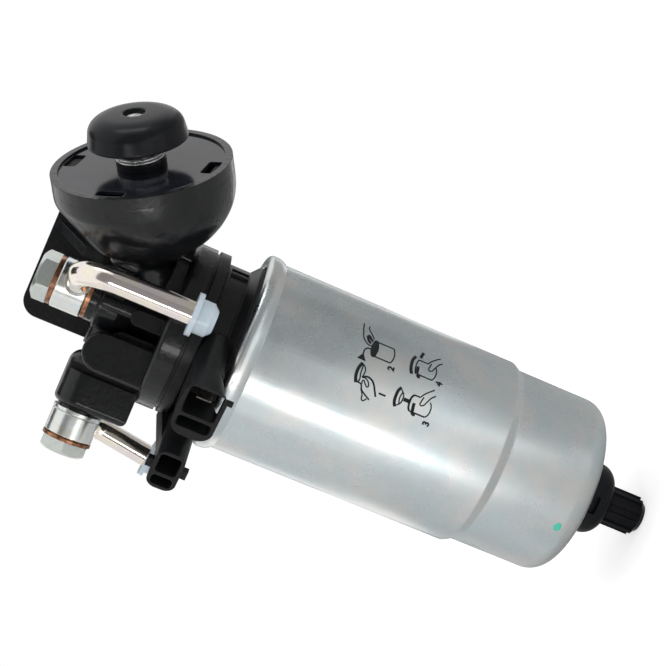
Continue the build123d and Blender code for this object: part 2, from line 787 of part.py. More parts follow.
for name, low_t in (("diaphragm_plate_upper", diaphragm_top_t), ("diaphragm_plate_lower", piston_low_t)):
    with BuildPart() as piston:
        with BuildSketch(pump.offset(low_t)):
            Circle(PISTON_R)
            Circle(ROD_THREAD_R, mode=Mode.SUBTRACT)
        extrude(amount=PISTON_T)
    keep(piston.part, name)

with BuildPart() as plunger_rod:
    with BuildSketch(pump_section):
        with BuildLine():
            Polyline(
                (0, rod_nut_t),
                (ROD_THREAD_R, rod_nut_t),
                (ROD_THREAD_R, piston_top_t),
                (ROD_R, piston_top_t),
                (ROD_R, hub_low_t),
                (ROD_SPIGOT_R, hub_low_t),
                (ROD_SPIGOT_R, hub_low_t + ROD_SPIGOT_LEN),
                (SCREW_R, hub_low_t + ROD_SPIGOT_LEN),
                (SCREW_R, screw_seat_t - SCREW_LEN),
                (0, screw_seat_t - SCREW_LEN),
                close=True,
            )
        make_face()
    revolve(axis=pump_axis)
keep(plunger_rod.part, "plunger_rod")

with BuildPart() as rod_nut:
    with BuildSketch(pump.offset(rod_nut_t)):
        RegularPolygon(ROD_NUT_AF / 2, 6, major_radius=False)
        Circle(ROD_THREAD_R, mode=Mode.SUBTRACT)
    extrude(amount=ROD_NUT_T)
keep(rod_nut.part, "rod_nut")

# Push button: a thin mushroom cap over the spring, with a hub on the rod and a sunk screw
with BuildPart() as push_button:
    with BuildSketch(pump_section):
        with BuildLine():
            Polyline(
                (ROD_SPIGOT_R, hub_low_t),
                (BUTTON_HUB_R, hub_low_t),
                (BUTTON_HUB_R, ceiling_t),
                (BUTTON_CEILING_R, ceiling_t),
                (BUTTON_RIM_R - BUTTON_SKIN, button_low_t),
                (BUTTON_RIM_R, button_low_t),
            )
            Spline(
                (BUTTON_RIM_R, button_low_t),
                (BUTTON_R, button_low_t + BUTTON_WIDE_UP),
                (BUTTON_SHOULDER_R, button_low_t + BUTTON_SHOULDER_UP),
                (BUTTON_CROWN_R, button_top_t - BUTTON_CROWN_DROP),
                (SCREW_HOLE_R, button_top_t),
                tangents=[(0.6, 0.8), (-1, 0.04)],
            )
            Polyline(
                (SCREW_HOLE_R, button_top_t),
                (SCREW_HOLE_R, screw_seat_t),
                (SCREW_R, screw_seat_t),
                (SCREW_R, hub_low_t + ROD_SPIGOT_LEN),
                (ROD_SPIGOT_R, hub_low_t + ROD_SPIGOT_LEN),
                (ROD_SPIGOT_R, hub_low_t),
            )
        make_face()
    revolve(axis=pump_axis)
keep(push_button.part, "push_button")

with BuildPart() as button_screw:
    with BuildSketch(pump.offset(screw_seat_t - SCREW_LEN)):
        Circle(SCREW_R)
    extrude(amount=SCREW_LEN)
    with BuildSketch(pump.offset(screw_seat_t)):
        Circle(SCREW_HEAD_R)
    extrude(amount=SCREW_HEAD_T)
    with BuildSketch(pump.offset(screw_seat_t + SCREW_HEAD_T)):
        Rectangle(SCREW_SLOT, 3 * SCREW_HEAD_R)
    extrude(amount=-SCREW_HEAD_T / 2, mode=Mode.SUBTRACT)
keep(button_screw.part, "button_screw")

# Return spring: two closed coils on the guide's flange, then open coils up to the button's ceiling
spring_low_t = PUMP_FACE_T + GUIDE_FLANGE_T + SPRING_WIRE_R + RUN_FIT
spring_high_t = ceiling_t - SPRING_WIRE_R - RUN_FIT
closed_height = SPRING_CLOSED_TURNS * SPRING_CLOSED_PITCH
open_height = spring_high_t - spring_low_t - closed_height
with BuildPart() as pump_spring:
    for start_t, height, turns in (
        (spring_low_t, closed_height, SPRING_CLOSED_TURNS),
        (spring_low_t + closed_height, open_height, SPRING_OPEN_TURNS),
    ):
        with BuildLine():
            coil = Helix(height / turns, height, SPRING_R, center=pump.offset(start_t).origin, direction=pump_dir)
        with BuildSketch(Plane(origin=coil @ 0, x_dir=pump_dir, z_dir=coil % 0)):
            Circle(SPRING_WIRE_R)
        sweep(path=coil, is_frenet=True)
keep(pump_spring.part, "pump_spring")

# Heater ring: wall, clamped hub and spokes, with both connectors moulded on
power_mid = -(POWER_TOP + POWER_LOW) / 2
power_barrel_mid = -(POWER_TOP + POWER_BARREL_LOW) / 2
power_h = POWER_LOW - POWER_TOP
power_barrel_h = POWER_BARREL_LOW - POWER_TOP
sensor_mid = -(SENSOR_TOP + SENSOR_LOW) / 2
sensor_h = SENSOR_LOW - SENSOR_TOP
power_key_x = -POWER_W / 2 + POWER_SIDE_WALL + POWER_KEY_W / 2
power_cell_w = POWER_W - POWER_KEY_W - POWER_SIDE_WALL - 2 * CELL_WALL
power_cell_x = POWER_W / 2 - CELL_WALL - power_cell_w / 2
sensor_key_x = -SENSOR_W / 2 + CELL_WALL + SENSOR_KEY_W / 2
sensor_cell_w = SENSOR_W - SENSOR_KEY_W - 3 * CELL_WALL
sensor_cell_x = SENSOR_W / 2 - CELL_WALL - sensor_cell_w / 2

sensor_side = Plane(
    origin=at_can(0, 0, 0) + socket_side * SENSOR_OFF, x_dir=-socket_dir, z_dir=(-socket_dir).cross(Vector(0, 0, 1))
)

with BuildPart() as heater_body:
    with BuildSketch(section):
        with BuildLine():
            Polyline(
                (0, 0),
                (HEATER_NECK_R, 0),
                (HEATER_NECK_R, -HEATER_NECK_LEN),
                (HEAD_R, -HEATER_NECK_LEN),
                (HEAD_R, -HEATER_NECK_LEN - HEATER_TOP_LEN),
                (HEATER_WAIST_R, -HEATER_WAIST_TOP),
                (HEATER_WAIST_R, -HEATER_WAIST_LOW),
                (HEATER_FOOT_R, -HEATER_LEN + HEATER_FOOT_T),
                (HEATER_FOOT_R, -HEATER_LEN),
                (0, -HEATER_LEN),
                close=True,
            )
        make_face()
    revolve(axis=can_axis)
    # Large connector: a barrel that swells downwards into a hood once it is past the canister's bead
    with BuildSketch(socket_plane(POWER_OFF, SOCKET_ROOT, power_barrel_mid)):
        RectangleRounded(POWER_W, power_barrel_h, POWER_ROUND)
    extrude(amount=HOOD_START - SOCKET_ROOT)
    with BuildSketch(socket_plane(POWER_OFF, HOOD_START, power_barrel_mid)):
        RectangleRounded(POWER_W, power_barrel_h, POWER_ROUND)
    with BuildSketch(socket_plane(POWER_OFF, SOCKET_REACH, power_mid)):
        RectangleRounded(POWER_W, power_h, POWER_ROUND)
    loft()
    # Small connector
    with BuildSketch(socket_plane(SENSOR_OFF, SENSOR_ROOT, sensor_mid)):
        RectangleRounded(SENSOR_W, sensor_h, SENSOR_ROUND)
    extrude(amount=SOCKET_REACH - SENSOR_ROOT)
    # Latch ramps over and under the small connector, and the lug under the large one
    with BuildSketch(socket_plane(SENSOR_OFF + LATCH_OFF, SOCKET_REACH - LATCH_L, sensor_mid)):
        Rectangle(LATCH_W, sensor_h + 2 * LATCH_H)
    extrude(amount=-LATCH_L)
    with BuildSketch(sensor_side):
        with BuildLine():
            Polyline(
                (-WEDGE_REACH, -SENSOR_TOP - sensor_h / 2),
                (-WEDGE_REACH, -SENSOR_TOP),
                (-WEDGE_ROOT, -WEDGE_TOP),
                (-WEDGE_ROOT, -SENSOR_TOP - sensor_h / 2),
                close=True,
            )
        make_face()
    extrude(amount=WEDGE_W / 2, both=True)
    with BuildSketch(socket_plane(POWER_OFF + LUG_OFF, SOCKET_REACH - LATCH_L, -POWER_LOW)):
        Rectangle(LUG_W, 2 * LUG_H)
    extrude(amount=-LUG_L)
    # Sockets: a keyway and a cell for the blades in each
    with BuildSketch(socket_plane(POWER_OFF, SOCKET_REACH, power_mid)):
        with Locations((power_key_x, 0)):
            RectangleRounded(POWER_KEY_W, power_h - 2 * CELL_WALL, CELL_ROUND)
        with Locations((power_cell_x, 0)):
            RectangleRounded(power_cell_w, power_h - 2 * CELL_WALL, CELL_ROUND)
    extrude(amount=-POWER_DEEP, mode=Mode.SUBTRACT)
    with BuildSketch(socket_plane(SENSOR_OFF, SOCKET_REACH, sensor_mid)):
        with Locations((sensor_key_x, 0)):
            RectangleRounded(SENSOR_KEY_W, sensor_h - 2 * CELL_WALL, CELL_ROUND)
        with Locations((sensor_cell_x, 0)):
            RectangleRounded(sensor_cell_w, sensor_h - 2 * CELL_WALL, CELL_ROUND)
    extrude(amount=-SENSOR_DEEP, mode=Mode.SUBTRACT)
    # Slots that the terminals are pushed through
    with BuildSketch(socket_plane(POWER_OFF, SOCKET_REACH, power_mid)):
        with Locations((power_cell_x - BLADE_PITCH / 2, 0), (power_cell_x + BLADE_PITCH / 2, 0)):
            Rectangle(BLADE_T, BLADE_W)
    extrude(amount=-(POWER_DEEP + BLADE_IN), mode=Mode.SUBTRACT)
    with BuildSketch(socket_plane(SENSOR_OFF, SOCKET_REACH, sensor_mid)):
        with Locations((sensor_cell_x, -BLADE_PITCH / 4), (sensor_cell_x, BLADE_PITCH / 4)):
            Circle(PIN_R)
    extrude(amount=-(SENSOR_DEEP + BLADE_IN), mode=Mode.SUBTRACT)
    # Panel and window pressed into the waist on the viewer's right
    for turn, arc in ((PANEL_TURN, PANEL_ARC), (WINDOW_TURN, WINDOW_ARC)):
        with BuildSketch(section_through(turned_seam(0, turn))):
            with Locations((HEATER_WAIST_R - PANEL_DEEP, -(PANEL_TOP + PANEL_LOW) / 2)):
                Rectangle(2 * PANEL_DEEP, PANEL_LOW - PANEL_TOP, align=(Align.MIN, Align.CENTER))
        revolve(axis=can_axis, revolution_arc=arc, mode=Mode.SUBTRACT)
    # Fuel space inside the wall, and the hub's bore
    with BuildSketch(seam):
        Circle(HEATER_WALL_R)
        Circle(HUB_R, mode=Mode.SUBTRACT)
    extrude(amount=-HEATER_LEN, mode=Mode.SUBTRACT)
    with BuildSketch(seam):
        Circle(NIPPLE_R + SLIP)
    extrude(amount=-HEATER_LEN, mode=Mode.SUBTRACT)
    with BuildSketch(seam.offset(-HEATER_LEN)):
        with PolarLocations((HUB_R + HEATER_WALL_R) / 2, SPOKES):
            Rectangle(HEATER_WALL_R - HUB_R + OVERRUN, SPOKE_W)
    extrude(amount=SPOKE_H)
keep(heater_body.part, "heater_body")

with BuildPart() as heater_element:
    with BuildSketch(seam.offset(SPOKE_H - HEATER_LEN)):
        Circle(ELEMENT_PLATE_R)
        Circle(HUB_R, mode=Mode.SUBTRACT)
        with PolarLocations((HUB_R + ELEMENT_PLATE_R) / 2, ELEMENT_HOLES):
            Circle(ELEMENT_HOLE_R, mode=Mode.SUBTRACT)
    extrude(amount=ELEMENT_PLATE_T)
keep(heater_element.part, "heater_element")

with BuildPart() as power_terminals:
    with BuildSketch(socket_plane(POWER_OFF, SOCKET_REACH - POWER_DEEP - BLADE_IN, power_mid)):
        with Locations((power_cell_x - BLADE_PITCH / 2, 0), (power_cell_x + BLADE_PITCH / 2, 0)):
            Rectangle(BLADE_T, BLADE_W)
    extrude(amount=BLADE_IN + BLADE_OUT)
keep(power_terminals.part, "power_terminals")

with BuildPart() as sensor_terminals:
    with BuildSketch(socket_plane(SENSOR_OFF, SOCKET_REACH - SENSOR_DEEP - BLADE_IN, sensor_mid)):
        with Locations((sensor_cell_x, -BLADE_PITCH / 4), (sensor_cell_x, BLADE_PITCH / 4)):
            Circle(PIN_R)
    extrude(amount=BLADE_IN + BLADE_OUT)
keep(sensor_terminals.part, "sensor_terminals")

# Canister, from its gasket down
retainer_top = -HEATER_LEN - GASKET_T
plate_top = retainer_top - RETAINER_T
boss_low = plate_top - BASE_PLATE_T - THREAD_BOSS_LEN
upper_cap_top = boss_low - GROMMET_T
pleats_top = upper_cap_top - END_CAP_T
pleats_low = pleats_top - PLEAT_LEN
lower_cap_low = pleats_low - END_CAP_T

with BuildPart() as can_gasket:
    with BuildSketch(seam.offset(retainer_top)):
        Circle(GASKET_OUT_R)
        Circle(GASKET_IN_R, mode=Mode.SUBTRACT)
    extrude(amount=GASKET_T)
keep(can_gasket.part, "can_gasket")

with BuildPart() as seam_retainer:
    with BuildSketch(section):
        with BuildLine():
            Polyline(
                (RETAINER_IN_R, plate_top),
                (BEAD_IN_R, plate_top),
                (BEAD_IN_R, retainer_top + RETAINER_HIGH),
                (BEAD_IN_R - RETAINER_T, retainer_top + RETAINER_HIGH),
                (BEAD_IN_R - RETAINER_T, retainer_top),
                (RETAINER_IN_R, retainer_top),
                close=True,
            )
        make_face()
    revolve(axis=can_axis)
keep(seam_retainer.part, "seam_retainer")

with BuildPart() as base_plate:
    with BuildSketch(seam.offset(plate_top)):
        Circle(BASE_PLATE_R)
    extrude(amount=-BASE_PLATE_T)
    with BuildSketch(seam.offset(plate_top)):
        Circle(THREAD_BOSS_R)
    extrude(amount=-BASE_PLATE_T - THREAD_BOSS_LEN)
    with BuildSketch(seam.offset(plate_top)):
        Circle(NIPPLE_R + RUN_FIT)
        with PolarLocations(INLET_RING_R, INLET_HOLES):
            Circle(INLET_HOLE_R)
    extrude(amount=-BASE_PLATE_T - THREAD_BOSS_LEN, mode=Mode.SUBTRACT)
keep(base_plate.part, "base_plate")

# Drawn shell with the rolled bead at its mouth, the step and the rounded bottom
wall_in_r = CAN_R - CAN_WALL
lower_in_r = LOWER_R - CAN_WALL
bead_radius = BEAD_R - (BEAD_R + BEAD_IN_R) / 2
with BuildPart() as can_shell:
    with BuildSketch(section):
        with BuildLine():
            FilletPolyline(
                (CAN_R, -BEAD_LOW),
                (CAN_R, -STEP_TOP),
                (LOWER_R, -STEP_LOW),
                (LOWER_R, -CAN_LEN),
                (BUSH_R, -CAN_LEN),
                radius=(STEP_ROUND, STEP_ROUND, BOTTOM_CORNER_R),
            )
            Line((BUSH_R, -CAN_LEN), (BUSH_R, -CAN_LEN + CAN_WALL))
            FilletPolyline(
                (BUSH_R, -CAN_LEN + CAN_WALL),
                (lower_in_r, -CAN_LEN + CAN_WALL),
                (lower_in_r, -STEP_LOW - STEP_INSIDE),
                (wall_in_r, -STEP_TOP - STEP_INSIDE),
                (wall_in_r, -BEAD_LOW),
                radius=(BOTTOM_CORNER_R - CAN_WALL, STEP_ROUND, STEP_ROUND),
            )
            Polyline(
                (wall_in_r, -BEAD_LOW),
                (BEAD_IN_R, plate_top - BASE_PLATE_T / 4),
                (BEAD_IN_R, -BEAD_TOP - bead_radius),
            )
            ThreePointArc(
                (BEAD_IN_R, -BEAD_TOP - bead_radius),
                ((BEAD_R + BEAD_IN_R) / 2, -BEAD_TOP),
                (BEAD_R, -BEAD_TOP - bead_radius),
            )
            Line((BEAD_R, -BEAD_TOP - bead_radius), (BEAD_R, -BEAD_WIDE))
            ThreePointArc(
                (BEAD_R, -BEAD_WIDE),
                ((BEAD_R + CAN_R) / 2 + BEAD_BULGE, -(BEAD_WIDE + BEAD_LOW) / 2 - BEAD_BULGE),
                (CAN_R, -BEAD_LOW),
            )
        make_face()
    revolve(axis=can_axis)
keep(can_shell.part, "can_shell")

with BuildPart() as element_grommet:
    with BuildSketch(seam.offset(boss_low)):
        Circle(THREAD_BOSS_R)
        Circle(GROMMET_IN_R, mode=Mode.SUBTRACT)
    extrude(amount=-GROMMET_T)
keep(element_grommet.part, "element_grommet")

with BuildPart() as upper_end_cap:
    with BuildSketch(seam.offset(upper_cap_top)):
        Circle(END_CAP_R)
        Circle(GROMMET_IN_R, mode=Mode.SUBTRACT)
    extrude(amount=-END_CAP_T)
keep(upper_end_cap.part, "upper_end_cap")

# Pleated paper: a star-shaped sheet folded round the centre tube
fold = 180.0 / PLEATS
star_out = [
    ((PLEAT_OUT_R, PLEAT_IN_R + PLEAT_SHEET)[i % 2], i * fold) for i in range(2 * PLEATS)
]
star_in = [
    ((PLEAT_OUT_R - PLEAT_SHEET, PLEAT_IN_R)[i % 2], i * fold) for i in range(2 * PLEATS)
]
with BuildPart() as pleated_element:
    with BuildSketch(seam.offset(pleats_low)):
        with BuildLine():
            Polyline(*[(r * cos(radians(a)), r * sin(radians(a))) for r, a in star_out], close=True)
        make_face()
        with BuildLine():
            Polyline(*[(r * cos(radians(a)), r * sin(radians(a))) for r, a in star_in], close=True)
        make_face(mode=Mode.SUBTRACT)
    extrude(amount=PLEAT_LEN)
keep(pleated_element.part, "pleated_element")

with BuildPart() as centre_tube:
    with BuildSketch(seam.offset(pleats_low)):
        Circle(TUBE_R)
        Circle(TUBE_R - TUBE_WALL, mode=Mode.SUBTRACT)
    extrude(amount=PLEAT_LEN)
    for row in range(TUBE_ROWS):
        row_h = pleats_low + (row + 0.5) * PLEAT_LEN / TUBE_ROWS
        with BuildSketch(seam.offset(row_h - TUBE_SLOT_H / 2)):
            with PolarLocations(TUBE_R, TUBE_SLOTS, start_angle=(row % 2) * 180 / TUBE_SLOTS):
                Rectangle(4 * TUBE_WALL, TUBE_SLOT_W)
        extrude(amount=TUBE_SLOT_H, mode=Mode.SUBTRACT)
keep(centre_tube.part, "centre_tube")

with BuildPart() as lower_end_cap:
    with BuildSketch(seam.offset(lower_cap_low)):
        Circle(END_CAP_R)
    extrude(amount=END_CAP_T)
keep(lower_end_cap.part, "lower_end_cap")

# Leaf spring that stands on the can's step and lifts the element against its grommet
with BuildPart() as element_spring:
    with BuildSketch(section):
        with BuildLine():
            Polyline(
                (0, lower_cap_low),
                (LEAF_HUB_R, lower_cap_low),
                (LEAF_R, lower_cap_low - LEAF_DROP),
                (LEAF_R, lower_cap_low - LEAF_DROP - LEAF_T),
                (LEAF_HUB_R, lower_cap_low - LEAF_T),
                (0, lower_cap_low - LEAF_T),
                close=True,
            )
        make_face()
    revolve(axis=can_axis)
    with BuildSketch(seam.offset(lower_cap_low + LEAF_T)):
        Circle(LEAF_R + OVERRUN)
        Circle(LEAF_HUB_R, mode=Mode.SUBTRACT)
        with PolarLocations(LEAF_R / 2, LEAVES, start_angle=45):
            Rectangle(LEAF_R + 4 * OVERRUN, LEAF_W, mode=Mode.SUBTRACT)
    extrude(amount=-LEAF_DROP - 3 * LEAF_T, mode=Mode.SUBTRACT)
keep(element_spring.part, "element_spring")

# Drain: a steel bush in the can's bottom and a knob that screws into it
with BuildPart() as drain_bush:
    with BuildSketch(seam.offset(-CAN_LEN)):
        Circle(BUSH_R)
    extrude(amount=CAN_WALL + BUSH_UP)
    with BuildSketch(seam.offset(-CAN_LEN + CAN_WALL)):
        Circle(BUSH_FLANGE_R)
    extrude(amount=BUSH_FLANGE_T)
    with BuildSketch(seam.offset(-CAN_LEN)):
        Circle(DRAIN_THREAD_R + RUN_FIT)
    extrude(amount=CAN_WALL + BUSH_UP, mode=Mode.SUBTRACT)
keep(drain_bush.part, "drain_bush")

with BuildPart() as drain_gasket:
    with BuildSketch(seam.offset(-CAN_LEN)):
        Circle(DRAIN_GASKET_OUT_R)
        Circle(DRAIN_GASKET_IN_R, mode=Mode.SUBTRACT)
    extrude(amount=-DRAIN_GASKET_T)
keep(drain_gasket.part, "drain_gasket")

knob_top = -CAN_LEN - KNOB_GAP
gasket_seat = -CAN_LEN - DRAIN_GASKET_T
grip_low = -CAN_LEN - KNOB_LEN
with BuildPart() as drain_knob:
    with BuildSketch(section):
        with BuildLine():
            FilletPolyline(
                (KNOB_TOP_R, knob_top),
                (KNOB_R, -CAN_LEN - KNOB_WIDE),
                (KNOB_R, -CAN_LEN - KNOB_ROUND_START - KNOB_ROUND_R / 2),
                (GRIP_R, -CAN_LEN - KNOB_FLANGE_LEN),
                (GRIP_CORE_R, -CAN_LEN - KNOB_FLANGE_LEN - GRIP_STEP),
                radius=(KNOB_EDGE_ROUND, KNOB_ROUND_R, GRIP_ROOT_ROUND),
            )
            Polyline(
                (GRIP_CORE_R, -CAN_LEN - KNOB_FLANGE_LEN - GRIP_STEP),
                (GRIP_CORE_R, grip_low + GRIP_END),
                (GRIP_END_R, grip_low),
                (0, grip_low),
                (0, gasket_seat + STEM_LEN),
                (DRAIN_THREAD_R, gasket_seat + STEM_LEN),
                (DRAIN_THREAD_R, gasket_seat),
                (KNOB_TOP_R - KNOB_RIM_WALL, gasket_seat),
                (KNOB_TOP_R - KNOB_RIM_WALL, knob_top),
                (KNOB_TOP_R, knob_top),
            )
        make_face()
    revolve(axis=can_axis)
    # Finger ribs round the grip
    with BuildSketch(seam.offset(grip_low + GRIP_END)):
        with PolarLocations(GRIP_R / 2, GRIP_RIBS):
            Rectangle(GRIP_R, GRIP_RIB_W)
    extrude(amount=KNOB_LEN - GRIP_END - KNOB_FLANGE_LEN)
    # Windows in the rim
    with BuildSketch(seam.offset(knob_top)):
        with PolarLocations(KNOB_R, NOTCHES, start_angle=NOTCH_TURN):
            Rectangle(NOTCH_REACH, NOTCH_W)
    extrude(amount=-NOTCH_DEEP, mode=Mode.SUBTRACT)
    # Water runs down a slot in the thread, under the gasket once it is slack, and out by the bore
    with BuildSketch(seam.offset(gasket_seat)):
        with Locations((DRAIN_THREAD_R, 0)):
            Rectangle(2 * STEM_SLOT, 2 * STEM_SLOT)
    extrude(amount=STEM_LEN, mode=Mode.SUBTRACT)
    with BuildSketch(seam.offset(grip_low)):
        Circle(DRAIN_BORE_R)
    extrude(amount=KNOB_LEN - DRAIN_GASKET_T / 4, mode=Mode.SUBTRACT)
    with BuildSketch(Plane(origin=at_can(0, 0, gasket_seat + DRAIN_GASKET_T / 2), z_dir=(0, -1, 0))):
        Circle(DRAIN_GASKET_T / 2)
    extrude(amount=DRAIN_THREAD_R + OVERRUN, both=True, mode=Mode.SUBTRACT)
keep(drain_knob.part, "drain_knob")


# Banjo unions: one hollow bolt, two copper washers, a fitting and a pipe stub each
pipe_root_r = BANJO_WASHER_R + 2 * SLIP


def banjo_bolt(seat, stack, head_t, turn):
    """A hollow hexagon bolt through a stack of washers and fitting, into its port."""
    corner_r = BANJO_HEX_AF / 2 / cos(radians(30))
    with BuildPart() as bolt:
        with BuildSketch(seat.offset(-BANJO_BOLT_IN)):
            Circle(PORT_THREAD_R)
        extrude(amount=BANJO_BOLT_IN + stack)
        with BuildSketch(seat.offset(stack)):
            RegularPolygon(BANJO_HEX_AF / 2, 6, major_radius=False, rotation=turn)
        extrude(amount=head_t)
        with BuildSketch(section_through(seat.offset(stack + head_t))):
            with BuildLine():
                Polyline(
                    (BANJO_HEX_AF / 2 - HEX_CHAMFER, 0),
                    (corner_r + HEX_CHAMFER, 0),
                    (corner_r + HEX_CHAMFER, -HEX_CHAMFER - (corner_r - BANJO_HEX_AF / 2)),
                    close=True,
                )
            make_face()
        revolve(axis=Axis(seat.origin, seat.z_dir), mode=Mode.SUBTRACT)
        with BuildSketch(seat.offset(-BANJO_BOLT_IN)):
            Circle(BANJO_BOLT_BORE_R)
        extrude(amount=BANJO_BOLT_IN + stack - BANJO_BOLT_ROOF, mode=Mode.SUBTRACT)
        cross = Plane(origin=seat.offset(stack / 2).origin, x_dir=seat.z_dir, z_dir=seat.x_dir)
        with BuildSketch(cross):
            Circle(BANJO_CROSS_R)
        extrude(amount=PORT_THREAD_R + OVERRUN, both=True, mode=Mode.SUBTRACT)
    return bolt.part


def copper_washer(seat, low, thick):
    """A flat sealing ring round the bolt."""
    with BuildPart() as washer:
        with BuildSketch(seat.offset(low)):
            Circle(BANJO_WASHER_R)
            Circle(PORT_THREAD_R + BANJO_BORE_CLEAR, mode=Mode.SUBTRACT)
        extrude(amount=thick)
    return washer.part


def banjo_fitting(seat, low, height, radius, outward, branch_drop):
    """A ring with an annular groove inside and a brazing collar for the pipe."""
    middle = seat.offset(low + height / 2 - branch_drop)
    branch = Plane(origin=middle.origin, x_dir=seat.z_dir, z_dir=outward)
    with BuildPart() as fitting:
        with BuildSketch(seat.offset(low)):
            Circle(radius)
        extrude(amount=height)
        chamfer(fitting.edges().filter_by(GeomType.CIRCLE), FITTING_CHAMFER)
        with BuildSketch(branch):
            Circle(min(PIPE_R, height / 2 - FITTING_CHAMFER))
        extrude(amount=pipe_root_r)
        with BuildSketch(branch.offset(BANJO_WASHER_R + SLIP)):
            Circle(COLLAR_R)
        extrude(amount=COLLAR_LEN)
        with BuildSketch(seat.offset(low)):
            Circle(PORT_THREAD_R + BANJO_BORE_CLEAR)
        extrude(amount=height, mode=Mode.SUBTRACT)
        with BuildSketch(seat.offset(low + height / 4)):
            Circle(BANJO_RING_R)
        extrude(amount=height / 2, mode=Mode.SUBTRACT)
        with BuildSketch(branch):
            Circle(PIPE_R - PIPE_WALL)
        extrude(amount=pipe_root_r, mode=Mode.SUBTRACT)
        with BuildSketch(branch.offset(pipe_root_r)):
            Circle(PIPE_R)
        extrude(amount=COLLAR_LEN, mode=Mode.SUBTRACT)
    return fitting.part


def pipe_stub(start, outward, reach, drop_dir, drop):
    """A bent tube from its collar out to the bend and down to its open end."""
    corner = start + outward * reach
    first = start + outward * pipe_root_r
    with BuildPart() as pipe:
        with BuildLine():
            path = FilletPolyline(first, corner, corner + drop_dir * drop, radius=PIPE_BEND_R)
        with BuildSketch(Plane(origin=first, z_dir=outward)):
            Circle(PIPE_R)
            Circle(PIPE_R - PIPE_WALL, mode=Mode.SUBTRACT)
        sweep(path=path)
    return pipe.part


def pipe_cap(end, drop_dir):
    """A soft cap pushed over a pipe end, with a flange to pull it off by."""
    seat = Plane(origin=end, x_dir=(0, 1, 0), z_dir=drop_dir)
    with BuildPart() as cap:
        with BuildSketch(section_through(seat)):
            with BuildLine():
                Polyline(
                    (0, SLIP),
                    (PIPE_R + RUN_FIT, SLIP),
                    (PIPE_R + RUN_FIT, -PIPE_IN_CAP),
                    (CAP_FLANGE_R, -PIPE_IN_CAP),
                    (CAP_FLANGE_R, -PIPE_IN_CAP + CAP_FLANGE_T),
                    (CAP_BODY_R, -PIPE_IN_CAP + CAP_FLANGE_T),
                    (CAP_BODY_R, SLIP + CAP_FLOOR - CAP_ROUND),
                    (CAP_BODY_R - CAP_ROUND, SLIP + CAP_FLOOR),
                    (0, SLIP + CAP_FLOOR),
                    close=True,
                )
            make_face()
        revolve(axis=Axis(seat.origin, drop_dir))
    return cap.part


upper_stack = 2 * UPPER_WASHER_T + UPPER_FITTING_H
side_stack = 2 * SIDE_WASHER_T + SIDE_FITTING_H
keep(banjo_bolt(upper_port, upper_stack, UPPER_HEX_T, UPPER_HEX_TURN), "upper_banjo_bolt")
keep(copper_washer(upper_port, 0, UPPER_WASHER_T), "upper_washer_inner")
keep(copper_washer(upper_port, UPPER_WASHER_T + UPPER_FITTING_H, UPPER_WASHER_T), "upper_washer_outer")
keep(banjo_bolt(side_port, side_stack, SIDE_HEX_T, 0), "side_banjo_bolt")
keep(copper_washer(side_port, 0, SIDE_WASHER_T), "side_washer_inner")
keep(copper_washer(side_port, SIDE_WASHER_T + SIDE_FITTING_H, SIDE_WASHER_T), "side_washer_outer")

upper_out = Vector(sin(radians(UPPER_PIPE_TURN)), -cos(radians(UPPER_PIPE_TURN)), 0)
upper_down = Vector(0, 0, -1)
upper_start = upper_port.offset(upper_stack / 2 - UPPER_BRANCH_DROP).origin
side_out = Vector(0, 1, 0)
side_down = Vector(-sin(radians(SIDE_PIPE_LEAN)), 0, -cos(radians(SIDE_PIPE_LEAN)))
side_start = side_port.offset(side_stack / 2).origin
upper_fitting = banjo_fitting(
    upper_port, UPPER_WASHER_T, UPPER_FITTING_H, UPPER_FITTING_R, upper_out, UPPER_BRANCH_DROP
)
side_fitting = banjo_fitting(side_port, SIDE_WASHER_T, SIDE_FITTING_H, SIDE_FITTING_R, side_out, 0)
keep(upper_fitting, "upper_banjo_fitting")
keep(side_fitting, "side_banjo_fitting")
keep(pipe_stub(upper_start, upper_out, UPPER_PIPE_REACH, upper_down, UPPER_PIPE_DROP), "upper_pipe")
keep(pipe_stub(side_start, side_out, SIDE_PIPE_REACH, side_down, SIDE_PIPE_DROP), "side_pipe")
upper_end = upper_start + upper_out * UPPER_PIPE_REACH + upper_down * UPPER_PIPE_DROP
side_end = side_start + side_out * SIDE_PIPE_REACH + side_down * SIDE_PIPE_DROP
keep(pipe_cap(upper_end, upper_down), "upper_pipe_cap")
keep(pipe_cap(side_end, side_down), "side_pipe_cap")
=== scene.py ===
from math import cos, pi, radians, sin

import bpy
from mathutils import Matrix, Vector


